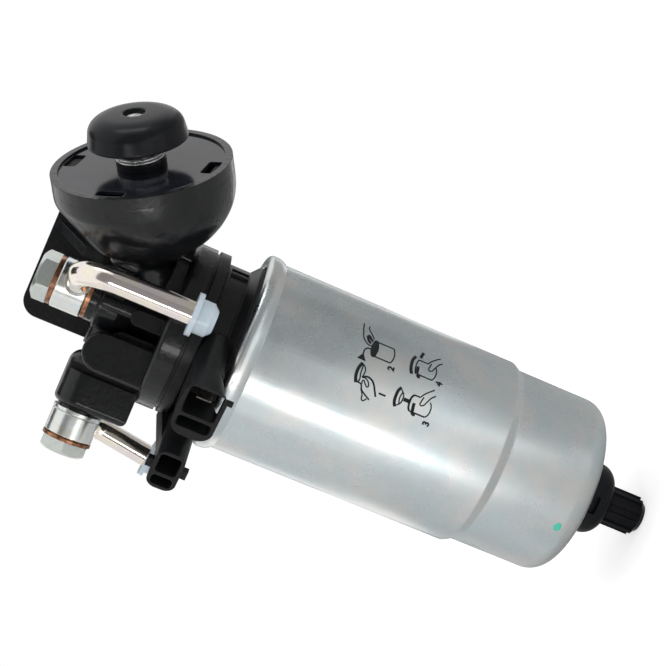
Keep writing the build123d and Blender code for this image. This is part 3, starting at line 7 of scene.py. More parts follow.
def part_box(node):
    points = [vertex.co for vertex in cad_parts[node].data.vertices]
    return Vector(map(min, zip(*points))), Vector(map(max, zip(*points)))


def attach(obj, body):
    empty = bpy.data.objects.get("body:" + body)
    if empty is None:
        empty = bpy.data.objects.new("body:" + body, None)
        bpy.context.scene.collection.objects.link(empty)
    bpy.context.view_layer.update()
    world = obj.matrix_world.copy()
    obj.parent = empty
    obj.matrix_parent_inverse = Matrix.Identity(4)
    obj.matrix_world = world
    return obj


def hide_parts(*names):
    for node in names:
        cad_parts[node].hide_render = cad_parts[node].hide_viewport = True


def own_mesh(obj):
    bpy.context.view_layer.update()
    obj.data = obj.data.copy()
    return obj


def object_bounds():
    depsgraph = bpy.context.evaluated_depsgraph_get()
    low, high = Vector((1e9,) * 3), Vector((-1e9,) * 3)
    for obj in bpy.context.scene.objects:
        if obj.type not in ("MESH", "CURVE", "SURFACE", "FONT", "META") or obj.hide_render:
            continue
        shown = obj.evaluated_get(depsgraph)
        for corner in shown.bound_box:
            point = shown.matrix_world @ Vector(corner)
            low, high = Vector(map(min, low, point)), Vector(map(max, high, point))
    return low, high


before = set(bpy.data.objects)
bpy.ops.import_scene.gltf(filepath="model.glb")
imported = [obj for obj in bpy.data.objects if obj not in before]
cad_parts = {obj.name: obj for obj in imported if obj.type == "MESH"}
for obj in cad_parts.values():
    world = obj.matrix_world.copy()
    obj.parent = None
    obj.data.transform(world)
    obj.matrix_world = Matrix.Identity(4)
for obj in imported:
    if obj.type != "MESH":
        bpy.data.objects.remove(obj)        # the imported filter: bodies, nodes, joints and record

cad_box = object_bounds()


# The camera stands 0.6 m in front of the filter, a little above it and rolled over,
# so that the upright filter lies across the picture as it does in the photograph.
camera_data = bpy.data.cameras.new("camera")
camera_data.sensor_width = 36
camera_data.lens = 76.58
camera = bpy.data.objects.new("camera", camera_data)
bpy.context.collection.objects.link(camera)
picture_right = Vector((0.38835, -0.13001, -0.91230))
picture_up = Vector((0.92151, 0.05479, 0.38446))
turn = Matrix((picture_right, picture_up, picture_right.cross(picture_up))).transposed()
camera.matrix_world = Matrix.Translation((0.01417, -0.65885, -0.01184)) @ turn.to_4x4()
bpy.context.scene.camera = camera
bpy.context.scene.view_settings.view_transform = "Standard"


# The studio: a plain pale floor under the filter, pale walls all round, three soft lamps,
# and grey cards, which give bright metal its darker bands as a photographer's do.
class Wire:
    """One output of a node. Arithmetic on it adds Math nodes; add() adds any other node."""

    def __init__(self, tree, socket=None):
        self.tree = tree
        self.socket = socket

    def add(self, kind, settings=None, sockets=None, out=0):
        node = self.tree.nodes.new("ShaderNode" + kind)
        for name, value in (settings or {}).items():
            if name == "stops":
                stops = node.color_ramp.elements
                for stop in range(len(value) - 2):
                    stops.new(0.5)
                for stop, (place, colour) in zip(stops, value):
                    stop.position = place
                    stop.color = (*colour, 1)
            else:
                setattr(node, name, value)
        for name, value in (sockets or {}).items():
            if isinstance(value, Wire):
                self.tree.links.new(value.socket, node.inputs[name])
            elif name == "Color" or name in (6, 7) and kind == "Mix" or "Base" in str(name):
                node.inputs[name].default_value = (*value, 1)
            else:
                node.inputs[name].default_value = value
        return Wire(self.tree, node.outputs[out])

    def math(self, operation, *values):
        return self.add("Math", {"operation": operation}, dict(enumerate(values)))

    def __add__(self, other):
        return self.math("ADD", self, other)

    def __sub__(self, other):
        return self.math("SUBTRACT", self, other)

    def __rsub__(self, other):
        return self.math("SUBTRACT", other, self)

    def __mul__(self, other):
        return self.math("MULTIPLY", self, other)

    __radd__ = __add__
    __rmul__ = __mul__

    def ease(self, low, high):
        """0 where this is at low, 1 where it is at high, and smooth between them."""
        sockets = {"Value": self, "From Min": low, "From Max": high}
        return self.add("MapRange", {"interpolation_type": "SMOOTHSTEP"}, sockets)

    def blend(self, none, full):
        """A colour that is none where this is 0 and full where it is 1."""
        return self.add("Mix", {"data_type": "RGBA"}, {0: self, 6: none, 7: full}, out=2)


def empty_tree(data):
    """Clears the nodes of a material or world and gives its tree and its output node."""
    data.use_nodes = True
    data.node_tree.nodes.clear()
    kind = "World" if isinstance(data, bpy.types.World) else "Material"
    return Wire(data.node_tree), data.node_tree.nodes.new("ShaderNodeOutput" + kind)


def seen_as_backdrop(wire):
    """1 for what looks straight at the backdrop or at its mirror image, 0 for the rest."""
    ray = wire.add("LightPath")
    outputs = ray.socket.node.outputs
    glossy = Wire(wire.tree, outputs["Is Glossy Ray"])
    through = Wire(wire.tree, outputs["Is Transmission Ray"])
    return (ray + glossy + through).math("MINIMUM", ray + glossy + through, 1)


world = bpy.data.worlds.new("studio walls")
bpy.context.scene.world = world
wire, output = empty_tree(world)
WALL_LIGHT = 0.60
wall = seen_as_backdrop(wire) * (1 - WALL_LIGHT) + WALL_LIGHT
shell = wire.add("Background", {}, {"Color": (1, 1, 1), "Strength": wall})
wire.tree.links.new(shell.socket, output.inputs["Surface"])

middle = (cad_box[0] + cad_box[1]) / 2
bpy.ops.object.select_all(action="DESELECT")
bpy.ops.mesh.primitive_plane_add(size=6, location=(middle.x, middle.y, cad_box[0].z))
floor = bpy.context.object
floor.name = "floor"
floor_paint = bpy.data.materials.new("pale floor")
wire, output = empty_tree(floor_paint)
place = wire.add("TexCoord", out="Object")
cloud = wire.add("TexNoise", {}, {"Vector": place, "Scale": 4.0, "Detail": 2.0})
pale = cloud.blend((0.80, 0.80, 0.80), (0.83, 0.83, 0.83))
matt = wire.add("BsdfDiffuse", {}, {"Color": pale})
glow = wire.add("Emission", {}, {"Color": (1, 1, 1), "Strength": seen_as_backdrop(wire) * 0.55})
both = wire.add("AddShader", {}, {0: matt, 1: glow})
wire.tree.links.new(both.socket, output.inputs["Surface"])
floor.data.materials.append(floor_paint)


def softbox(name, round_angle, height_angle, distance, width, height, watts):
    """A soft lamp at these angles from the camera's side, seen from the filter and facing it."""
    lamp = bpy.data.lights.new(name, "AREA")
    lamp.shape = "RECTANGLE"
    lamp.size = width
    lamp.size_y = height
    lamp.energy = watts
    lens = bpy.data.objects.new(name, lamp)
    bpy.context.collection.objects.link(lens)
    a, h = radians(round_angle), radians(height_angle)
    toward = Vector((sin(a) * cos(h), -cos(a) * cos(h), sin(h)))
    facing = toward.to_track_quat("Z", "Y").to_matrix().to_4x4()
    lens.matrix_world = Matrix.Translation(middle + distance * toward) @ facing
    lens.visible_camera = False
    return lens


softbox("key softbox", -29, 7, 0.50, 0.07, 0.37, 0.54)
softbox("right strip", 72, 32, 0.85, 0.16, 0.70, 1.5)
softbox("top softbox", 20, 78, 0.90, 0.70, 0.50, 3.2).visible_glossy = False


def card(name, round_angle, distance, width, height, grey, lying=False, raised=0.002):
    """A grey card that only mirrors see: standing round the filter, or lying this high."""
    a = radians(round_angle)
    bpy.ops.object.select_all(action="DESELECT")
    bpy.ops.mesh.primitive_plane_add(size=1, rotation=(0 if lying else pi / 2, 0, a))
    panel = bpy.context.object
    panel.name = name
    panel.scale = (width, height, 1)
    beside = Vector((sin(a), -cos(a), 0)) * distance
    panel.location = middle + beside
    panel.location.z = cad_box[0].z + (raised if lying else height / 2)
    panel.visible_camera = False
    panel.visible_diffuse = False
    panel.visible_shadow = False
    paint = bpy.data.materials.new(name)
    wire, output = empty_tree(paint)
    matt = wire.add("BsdfDiffuse", {}, {"Color": (grey, grey, grey)})
    wire.tree.links.new(matt.socket, output.inputs["Surface"])
    panel.data.materials.append(paint)


card("right card", 66, 0.55, 0.90, 0.42, 0.42)
card("low right card", 125, 0.55, 0.45, 0.24, 0.52)
card("left card", -100, 0.60, 0.90, 0.55, 0.95)
card("room behind the camera", 0, 1.10, 2.40, 1.60, 0.38)
card("right floor card", 105, 0.36, 0.70, 0.56, 0.50, lying=True)
card("left floor card", -85, 0.33, 0.60, 0.50, 0.76, lying=True)
card("front floor card", -14, 0.22, 0.30, 0.28, 0.60, lying=True)
card("floor card below", 180, 0.05, 0.26, 0.28, 0.60, lying=True)
card("back floor card", 185, 0.42, 0.34, 0.46, 0.20, lying=True)
card("high back card", 193, 0.36, 0.36, 0.36, 0.05, lying=True, raised=0.80)
card("back card", 182, 0.75, 0.60, 0.60, 0.25)


# The cast head carries everything. It is die-cast aluminium under gloss black paint, thick
# enough to round its edges and to ripple like orange peel. The mounting face is milled bare.
def finish(name, base, normal, rough, metal=0.0, coat=0.0, coat_rough=0.05, **more):
    """Ends a material: the surface shader with these inputs, on the material's output."""
    sockets = {"Base Color": base, "Normal": normal, "Roughness": rough, "Metallic": metal}
    sockets.update({"Coat Weight": coat, "Coat Roughness": coat_rough})
    sockets.update({label.replace("_", " "): value for label, value in more.items()})
    shader = base.add("BsdfPrincipled", {}, sockets)
    output = base.tree.nodes.new("ShaderNodeOutputMaterial")
    base.tree.links.new(shader.socket, output.inputs["Surface"])


def new_material(name):
    """An empty material, and a wire that starts its nodes at the object's own coordinates."""
    material = bpy.data.materials.new(name)
    wire, output = empty_tree(material)
    material.node_tree.nodes.remove(output)
    return material, wire.add("TexCoord", out="Object")


def noise(place, scale, detail=2.0, rough=0.5):
    """Cloudy noise, 0 to 1, that repeats its lumps about scale times in a metre."""
    sockets = {"Vector": place, "Scale": scale, "Detail": detail, "Roughness": rough}
    return place.add("TexNoise", {}, sockets)


def soft_edges(place, radius):
    """The normal with its sharp edges rounded off by this radius."""
    return place.add("Bevel", {"samples": 5}, {"Radius": radius})


def bump(height, depth, normal, strength=1.0):
    sockets = {"Height": height, "Distance": depth, "Strength": strength, "Normal": normal}
    return height.add("Bump", {}, sockets)


def dress(material, *nodes):
    """Gives these CAD nodes a material in place of the plain one they were packed with."""
    for node in nodes:
        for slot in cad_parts[node].material_slots:
            slot.material = material


black_paint, place = new_material("gloss black paint on casting")
edge = soft_edges(place, 0.0006)
peel = noise(place, 420, 2.0)
grain = noise(place, 1900, 3.0)
dust = noise(place, 700, 4.0, 0.7).ease(0.62, 0.80)
tone = noise(place, 60, 3.0).blend((0.0040, 0.0045, 0.0052), (0.0075, 0.0080, 0.0088))
tone = (dust * 0.25).blend(tone, (0.06, 0.062, 0.065))
bare = place.add("SeparateXYZ", {}, {"Vector": place}, out="Y").ease(-0.00030, -0.00012)
cutter_marks = noise(place.add("Mapping", {}, {"Vector": place, "Scale": (0.06, 1, 1)}), 2200, 2.0)
milled = cutter_marks.blend((0.52, 0.53, 0.54), (0.68, 0.69, 0.70))
tone = bare.blend(tone, milled)
skin = bump(peel * 0.8 + grain * 0.2, 0.00026, edge)
rough = (noise(place, 160, 3.0) * 0.12 + 0.17) * (1 - bare) + bare * 0.34
finish("head", tone, skin, rough, metal=bare, coat=(1 - bare) * 0.25, coat_rough=0.07,
       Specular_IOR_Level=0.22)
dress(black_paint, "filter_head")


# Seals are moulded nitrile rubber: deep black, dull, with a faint bloom on the skin.
rubber, place = new_material("moulded black rubber")
bloom = noise(place, 300, 4.0)
tone = bloom.blend((0.012, 0.012, 0.012), (0.030, 0.030, 0.031))
finish("rubber", tone, bump(bloom, 0.00005, soft_edges(place, 0.0003)), bloom * 0.2 + 0.55)
dress(rubber, "head_oring", "diaphragm", "can_gasket", "element_grommet", "drain_gasket")


# The pump's cover is pressed steel in smooth black enamel, held by the bowl's rolled lip.
enamel, place = new_material("black enamel on pressed steel")
ripple = noise(place, 90, 1.0)
tone = noise(place, 40, 2.0).blend((0.007, 0.008, 0.012), (0.011, 0.012, 0.017))
skin = bump(ripple, 0.00010, soft_edges(place, 0.0005))
finish("enamel", tone, skin, noise(place, 900, 3.0) * 0.06 + 0.09, Specular_IOR_Level=0.40)
dress(enamel, "pump_cover")


# The drain knob and the pump's rod guide are moulded in black nylon, smooth but not polished.
nylon, place = new_material("satin black nylon")
haze = noise(place, 220, 3.0)
tone = haze.blend((0.0055, 0.0060, 0.0075), (0.0100, 0.0105, 0.0125))
skin = bump(noise(place, 1500, 2.0), 0.00003, soft_edges(place, 0.0006))
finish("nylon", tone, skin, haze * 0.10 + 0.20, Specular_IOR_Level=0.14)
dress(nylon, "drain_knob", "rod_guide")


# The button is moulded in the same nylon as a thin cap: straight leaning sides, a shoulder that
# is a quarter of an ellipse, and a nearly flat crown. Inside, a hub takes the rod; on top, a
# hole is sunk for its screw. Its sizes are in millimetres, like the stations of lathe().
PUMP_TURN = radians(28.7)
PUMP_RISE = radians(28.1)
PUMP_FOOT = Vector((-0.009, -0.053, -0.030))
BUTTON_LOW = 0.0818
pump_way = Vector((cos(PUMP_TURN), -sin(PUMP_TURN), 0)) * cos(PUMP_RISE) + Vector((0, 0, sin(PUMP_RISE)))
pump_level = Vector((sin(PUMP_TURN), cos(PUMP_TURN), 0))
pump_tilt = Matrix((pump_level, pump_way.cross(pump_level), pump_way)).transposed().to_4x4()
button_place = Matrix.Translation(PUMP_FOOT + BUTTON_LOW * pump_way) @ pump_tilt


def lathe(name, *stations, sides=32, levels=2):
    """A ring turned about the Z axis: millimetres from the axis and up it, back to the start."""
    first, height = stations[0]
    bpy.ops.object.select_all(action="DESELECT")
    bpy.ops.mesh.primitive_circle_add(vertices=sides, radius=first / 1000, location=(0, 0, height / 1000))
    turned = bpy.context.object
    turned.name = name
    bpy.ops.object.transform_apply(location=True, rotation=False, scale=False)
    bpy.ops.object.mode_set(mode="EDIT")
    bpy.ops.mesh.select_all(action="SELECT")
    for (radius, height), (next_radius, next_height) in zip(stations, stations[1:] + stations[:1]):
        rise = (next_height - height) / 1000
        bpy.ops.mesh.extrude_edges_move(TRANSFORM_OT_translate={"value": (0, 0, rise)})
        spread = next_radius / radius
        bpy.ops.transform.resize(value=(spread, spread, 1), center_override=(0, 0, 0))
    bpy.ops.mesh.select_all(action="SELECT")
    bpy.ops.mesh.remove_doubles(threshold=0.000001)
    bpy.ops.mesh.normals_make_consistent(inside=False)
    bpy.ops.object.mode_set(mode="OBJECT")
    rounder = turned.modifiers.new("rounder", "SUBSURF")
    rounder.levels = levels
    rounder.render_levels = levels
    bpy.ops.object.modifier_apply(modifier="rounder")
    bpy.ops.object.shade_smooth()
    return turned


def put(piece, place):
    """Moves a piece to its place and keeps that place in its mesh."""
    bpy.ops.object.select_all(action="DESELECT")
    piece.select_set(True)
    bpy.context.view_layer.objects.active = piece
    piece.matrix_world = place
    bpy.ops.object.transform_apply(location=True, rotation=True, scale=True)


RIM_RADIUS = 20.4
RIM_HEIGHT = 1.3
SHOULDER_RADIUS = 19.6
SHOULDER_HEIGHT = 5.6
CROWN_RADIUS = 10.0
CROWN_HEIGHT = 12.15
SHOULDER_STEPS = 7
side = [
    (RIM_RADIUS + share * (SHOULDER_RADIUS - RIM_RADIUS),
     RIM_HEIGHT + share * (SHOULDER_HEIGHT - RIM_HEIGHT))
    for share in (0, 0.2, 0.6)]
shoulder = [
    (CROWN_RADIUS + (SHOULDER_RADIUS - CROWN_RADIUS) * cos(pi / 2 * step / SHOULDER_STEPS),
     SHOULDER_HEIGHT + (CROWN_HEIGHT - SHOULDER_HEIGHT) * sin(pi / 2 * step / SHOULDER_STEPS))
    for step in range(SHOULDER_STEPS + 1)]
button = lathe(
    "button_cap",
    (3.6, 2.3), (3.9, 2.25), (7.9, 2.25), (8.2, 2.5), (8.2, 8.2), (8.5, 8.4), (15.9, 8.4), (16.6, 8.1),
    (18.2, 1.3), (18.4, 0.75), (18.9, 0.60), (19.7, 0.60), (20.2, 0.75), *side, *shoulder,
    (6.0, 12.3), (4.9, 12.3), (4.5, 12.15), (4.35, 11.8), (4.3, 8.9),
    (4.1, 8.5), (2.8, 8.5), (2.5, 8.3), (2.5, 6.6), (2.7, 6.3), (3.3, 6.3), (3.5, 6.1), (3.5, 2.5))
put(button, button_place)
button.data.materials.append(nylon)
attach(button, "plunger")
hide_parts("push_button")


# The pump's bowl is rounder than a cone: a skin in the casting's paint lies over the casting,
# fullest on its lower side, and sinks into it at its ends and towards its upper side.
BOWL_FULLNESS = 0.0034
BOWL_ROOT = 0.038
BOWL_LIP = 0.0625
bowl = lathe(
    "bowl_skin",
    (36.4, 70.5), (36.85, 68.5), (36.9, 66.0), (36.85, 62.0), (36.5, 58.5), (35.7, 55.0),
    (34.3, 51.5), (32.2, 48.0), (29.4, 44.5), (26.0, 41.2), (23.5, 39.5), (22.5, 41.0),
    (24.5, 43.5), (27.5, 47.5), (30.5, 52.0), (33.0, 57.0), (34.8, 61.0), (35.2, 66.0),
    (35.6, 69.5), sides=48)
for point in bowl.data.vertices:
    radius = (point.co.x ** 2 + point.co.y ** 2) ** 0.5
    upper = (1 + point.co.y / radius) / 2
    depth = min(max((point.co.z - BOWL_ROOT) / (BOWL_LIP - BOWL_ROOT), 0), 1)
    drawn_in = BOWL_FULLNESS * upper * upper * (3 - 2 * upper) * sin(pi * depth)
    point.co.x *= 1 - drawn_in / radius
    point.co.y *= 1 - drawn_in / radius
put(bowl, Matrix.Translation(PUMP_FOOT) @ pump_tilt)
bowl.data.materials.append(black_paint)
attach(bowl, "head")


# The heater ring and its two sockets are one moulding in glass-filled nylon, whose skin
# is duller and shows the swirl of its fibres.
filled_nylon, place = new_material("glass-filled black nylon")
swirl = noise(place, 140, 5.0, 0.65)
tone = swirl.blend((0.0055, 0.0058, 0.0065), (0.0120, 0.0125, 0.0135))
skin = bump(noise(place, 1200, 4.0, 0.6), 0.00006, soft_edges(place, 0.0005))
finish("filled nylon", tone, skin, swirl * 0.20 + 0.22, Specular_IOR_Level=0.20)
dress(filled_nylon, "heater_body")


# Bolts, union bodies, pipes and the small pump parts are steel, zinc plated and passivated.
# Forged bolts come out duller, and drawn pipes almost like a mirror with a straw and pink tint.
def zinc_plating(name, straw, blue, stain, rough, ripple):
    """Zinc with soft clouds of two tints and small stains, this rough, rippled this deep."""
    material, place = new_material(name)
    cloud = noise(place, 95, 3.0, 0.6).ease(0.30, 0.70)
    mottle = noise(place, 600, 3.0, 0.6)
    tone = cloud.blend(straw, blue)
    tone = (mottle.ease(0.50, 0.72) * 0.35).blend(tone, stain)
    skin = bump(noise(place, 260, 2.0), ripple, soft_edges(place, 0.0004))
    finish("zinc", tone, skin, mottle * 0.10 + cloud * 0.04 + rough, metal=1.0)
    return material


zinc = zinc_plating("zinc plating", (0.80, 0.79, 0.73), (0.74, 0.79, 0.80), (0.58, 0.60, 0.57),
                    0.17, 0.00005)
dress(zinc, "plunger_rod", "rod_nut", "diaphragm_plate_upper", "diaphragm_plate_lower",
      "centre_nipple", "base_plate", "seam_retainer", "drain_bush", "upper_banjo_fitting",
      "side_banjo_fitting", "side_washer_inner")

bolt_zinc = zinc_plating("dull zinc on bolts", (0.66, 0.68, 0.63), (0.60, 0.65, 0.64),
                         (0.46, 0.50, 0.47), 0.24, 0.00004)
dress(bolt_zinc, "upper_banjo_bolt", "side_banjo_bolt")

pipe_zinc = zinc_plating("bright zinc on pipes", (0.90, 0.84, 0.70), (0.86, 0.77, 0.80),
                         (0.76, 0.74, 0.70), 0.07, 0.00003)
dress(pipe_zinc, "upper_pipe", "side_pipe")


# The button's screw is a turned steel cheese head, a little domed, with a sawn slot and a
# brushed top.
bpy.ops.object.select_all(action="DESELECT")
SCREW_RADIUS = 0.0039
SCREW_THICKNESS = 0.0018
SCREW_LEVEL = (0, 0, 0.0094)
SHANK_LENGTH = 0.006
SLOT_TURN = radians(-34)
SLOT_SIZE = (0.010, 0.0011, 0.0022)
bpy.ops.mesh.primitive_cylinder_add(
    vertices=40, radius=SCREW_RADIUS, depth=SCREW_THICKNESS, location=SCREW_LEVEL)
screw = bpy.context.object
screw.name = "slotted_screw"
bpy.ops.object.transform_apply(location=True, rotation=False, scale=False)
bpy.ops.object.mode_set(mode="EDIT")
bpy.ops.mesh.select_all(action="DESELECT")
bpy.ops.object.mode_set(mode="OBJECT")
for face in screw.data.polygons:
    face.select = face.normal.z < -0.9
bpy.ops.object.mode_set(mode="EDIT")
bpy.ops.mesh.select_mode(type="FACE")
bpy.ops.mesh.inset(thickness=0.0015)
bpy.ops.mesh.extrude_region_move(TRANSFORM_OT_translate={"value": (0, 0, -SHANK_LENGTH)})
bpy.ops.mesh.select_all(action="DESELECT")
bpy.ops.object.mode_set(mode="OBJECT")
for face in screw.data.polygons:
    face.select = face.normal.z > 0.9 and face.center.z > 0.010
bpy.ops.object.mode_set(mode="EDIT")
for ring in range(4):
    bpy.ops.mesh.inset(thickness=0.0007, depth=0.00003 + 0.00006 * (3 - ring))
bpy.ops.object.mode_set(mode="OBJECT")
bpy.ops.object.select_all(action="DESELECT")
bpy.ops.mesh.primitive_cube_add(size=1, location=(0, 0, 0.0110), rotation=(0, 0, SLOT_TURN))
saw = bpy.context.object
saw.scale = SLOT_SIZE
bpy.context.view_layer.objects.active = screw
slot_cut = screw.modifiers.new("sawn slot", "BOOLEAN")
slot_cut.operation = "DIFFERENCE"
slot_cut.object = saw
bpy.ops.object.modifier_apply(modifier="sawn slot")
bpy.data.objects.remove(saw)
put(screw, button_place)
brushed_steel, place = new_material("brushed steel screw head")
brush = noise(place.add("Mapping", {}, {"Vector": place, "Scale": (1, 0.15, 1)}), 2400, 3.0)
tone = brush.blend((0.70, 0.70, 0.69), (0.88, 0.88, 0.86))
finish("screw", tone, bump(brush, 0.00003, soft_edges(place, 0.00015)), brush * 0.15 + 0.42, metal=0.75)
screw.data.materials.append(brushed_steel)
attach(screw, "plunger")
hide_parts("button_screw")


# Springs are hard-drawn steel wire, with fine drawing lines round the wire. The pump's spring
# is a copy of its node; its foot is on the guide.
wire_steel, place = new_material("bright spring wire")
line = noise(place, 2600, 2.0)
tone = line.blend((0.50, 0.50, 0.51), (0.72, 0.72, 0.73))
finish("spring", tone, bump(line, 0.00003, soft_edges(place, 0.0001)), line * 0.2 + 0.15, metal=1.0)
dress(wire_steel, "pump_spring", "element_spring")
coil = bpy.data.objects.new("return_spring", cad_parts["pump_spring"].data.copy())
bpy.context.collection.objects.link(coil)
bpy.ops.object.select_all(action="DESELECT")
coil.select_set(True)
bpy.context.view_layer.objects.active = coil
bpy.ops.object.mode_set(mode="EDIT")
bpy.ops.mesh.select_all(action="SELECT")
bpy.ops.mesh.remove_doubles(threshold=0.000001)
bpy.ops.mesh.normals_make_consistent(inside=False)
bpy.ops.object.mode_set(mode="OBJECT")
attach(coil, "head")
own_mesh(coil)
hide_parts("pump_spring")


# Sealing washers are soft copper, browned by age. The side union's inner one is plated over.
copper, place = new_material("soft copper")
brown = noise(place, 400, 4.0)
tone = brown.ease(0.35, 0.65).blend((0.50, 0.25, 0.14), (0.20, 0.09, 0.055))
finish("copper", tone, bump(brown, 0.00006, soft_edges(place, 0.0003)), brown * 0.2 + 0.22, metal=1.0)
dress(copper, "upper_washer_inner", "upper_washer_outer", "side_washer_outer")


# The blades in the sockets are tinned brass, and the valves are turned brass.
tin, place = new_material("tinned brass")
rub = noise(place, 900, 4.0)
tone = rub.ease(0.40, 0.75).blend((0.30, 0.29, 0.28), (0.32, 0.26, 0.16))
finish("tin", tone, bump(rub, 0.00003, soft_edges(place, 0.0002)), rub * 0.2 + 0.2, metal=1.0)
dress(tin, "power_terminals", "sensor_terminals")

brass, place = new_material("turned brass")
rub = noise(place, 700, 4.0)
tone = rub.blend((0.76, 0.56, 0.26), (0.60, 0.42, 0.18))
finish("brass", tone, bump(rub, 0.00003, soft_edges(place, 0.0002)), rub * 0.2 + 0.2, metal=1.0)
dress(brass, "inlet_valve", "outlet_valve")


# The two shipping caps are soft milky polythene, pushed over the pipes' ends.
polythene, place = new_material("milky polythene")
milk = noise(place, 180, 3.0)
tone = milk.blend((0.46, 0.56, 0.63), (0.60, 0.68, 0.74))
skin = bump(noise(place, 900, 3.0), 0.00003, soft_edges(place, 0.0004))
finish("polythene", tone, skin, milk * 0.12 + 0.20, Subsurface_Weight=0.25,
       Subsurface_Scale=0.002)
dress(polythene, "upper_pipe_cap", "side_pipe_cap")


# The canister is drawn from plated sheet steel. The plating is bright with soft clouds,
# fine draw lines run along it, and handling has left small dull specks.
plate, place = new_material("bright plated can")
turned = place.add("Mapping", {}, {"Vector": place, "Scale": (1, 1, 0.12)})
draw = noise(turned, 900, 3.0)
cloud = noise(place, 30, 3.0, 0.6)
patch = noise(place, 85, 4.0, 0.6)
tone = cloud.ease(0.35, 0.65).blend((0.56, 0.62, 0.64), (0.67, 0.67, 0.65))
tone = (patch.ease(0.42, 0.62) * 0.5).blend(tone, (0.56, 0.64, 0.65))
speck = noise(place, 2300, 3.0, 0.6).ease(0.62, 0.78)
tone = (speck * 0.3).blend(tone, (0.42, 0.45, 0.45))
skin = bump(draw * 0.5 + patch * 0.5, 0.00005, soft_edges(place, 0.0005))
rough = cloud * 0.12 + patch * 0.10 + speck * 0.06 + 0.17
finish("can", tone, skin, rough, metal=1.0)
dress(plate, "can_shell")


# Four small line drawings of a filter change are printed on the canister in one dark ink, with
# plain numerals. The ink lies on the plating as a film, so each line is thin and closed.
ink_lines = []


def pen(width, *points, closed=False, sharp=False):
    """A pen line through these points: millimetres round the can from its front, and height."""
    line = bpy.data.curves.new("pen line", "CURVE")
    line.dimensions = "3D"
    line.bevel_depth = width * 0.00082
    line.bevel_resolution = 1
    line.resolution_u = 5
    line.use_fill_caps = True
    spline = line.splines.new("BEZIER")
    spline.bezier_points.add(len(points) - 1)
    for knot, (across, up) in zip(spline.bezier_points, points):
        knot.co = (across / 1000, 0, up / 1000)
        knot.handle_left_type = knot.handle_right_type = "VECTOR" if sharp else "AUTO"
    spline.use_cyclic_u = closed
    drawn = bpy.data.objects.new("pen line", line)
    bpy.context.collection.objects.link(drawn)
    ink_lines.append(drawn)


def numeral(figure, across, up, size=3.9):
    """A plain numeral centred on this place."""
    text = bpy.data.curves.new("numeral", "FONT")
    text.body = figure
    text.size = size / 1000
    text.extrude = 0.0002
    text.offset = 0.00020
    text.align_x = "CENTER"
    text.align_y = "CENTER"
    drawn = bpy.data.objects.new("numeral", text)
    bpy.context.collection.objects.link(drawn)
    upright = Matrix.Rotation(pi / 2, 4, "X")
    drawn.matrix_world = Matrix.Translation((across / 1000, 0, up / 1000)) @ upright
    ink_lines.append(drawn)


def hand_below(across, up):
    """An open hand that comes from the lower right and holds the can's side."""
    pen(0.40, (across, up), (across + 1.6, up - 1.0), (across + 3.6, up - 2.9), (across + 5.3, up - 4.8))
    pen(0.40, (across + 0.6, up - 1.4), (across - 1.4, up - 0.9), (across - 3.0, up - 0.9),
        (across - 2.9, up - 1.9), (across - 0.7, up - 3.3), (across + 1.5, up - 4.5),
        (across + 3.0, up - 6.0))


# First: a hand oils the seal ring
pen(0.95, (8.4, -108.7), (10.5, -107.9), (12.8, -107.6), (15.2, -107.9), (17.2, -108.7))
pen(0.40, (8.9, -109.3), (9.8, -109.7), (12.8, -109.3), (15.5, -109.3), (16.7, -109.2))
pen(0.40, (11.4, -110.4), (13.6, -110.8), (15.6, -110.4), (16.7, -109.2))
pen(0.45, (8.9, -109.3), (8.6, -110.9), (6.6, -112.0), (5.4, -113.6), (3.9, -116.4))
pen(0.40, (7.0, -111.5), (4.8, -112.9), (2.6, -113.8), (3.9, -115.3))
pen(0.40, (8.8, -111.2), (10.4, -111.3), (9.2, -112.6), (8.4, -113.8), (9.7, -113.9),
    (11.5, -112.0), (11.4, -110.4))
pen(0.55, (11.4, -110.4), (12.4, -112.3), (12.0, -114.2), (10.5, -115.9), (8.2, -117.2), (6.0, -118.4))
numeral("1", 7.9, -120.8)

# Second: a hand fills the can
pen(0.70, (18.6, -106.2), (20.9, -107.7), (18.5, -109.2), closed=True, sharp=True)
pen(1.10, (19.1, -107.2), (19.9, -107.7), (19.1, -108.2), closed=True, sharp=True)
pen(0.45, (20.9, -107.7), (22.9, -107.8), (24.2, -108.6), (24.6, -110.4))
pen(0.85, (21.9, -111.9), (23.4, -110.9), (25.5, -110.7), (27.6, -110.9), (29.1, -111.9), (27.6, -112.5),
    (25.5, -112.8), (23.4, -112.5), closed=True)
pen(1.20, (23.0, -111.8), (25.5, -111.7), (28.0, -111.8))
pen(0.40, (21.9, -112.0), (21.9, -119.6), sharp=True)
pen(0.40, (29.1, -112.0), (29.1, -119.6), sharp=True)
pen(0.40, (21.9, -119.6), (23.4, -120.2), (25.5, -120.5), (27.6, -120.2), (29.1, -119.6))
pen(0.40, (25.9, -110.2), (26.2, -108.4), (28.2, -106.3), (31.5, -105.3), (36.2, -104.8))
pen(0.80, (27.1, -109.6), (28.2, -108.3), (30.4, -108.0), (29.3, -109.2), (28.5, -110.2))
pen(0.40, (29.8, -110.5), (31.8, -109.2), (34.0, -107.6), (35.6, -107.4))
numeral("2", 19.7, -120.7)

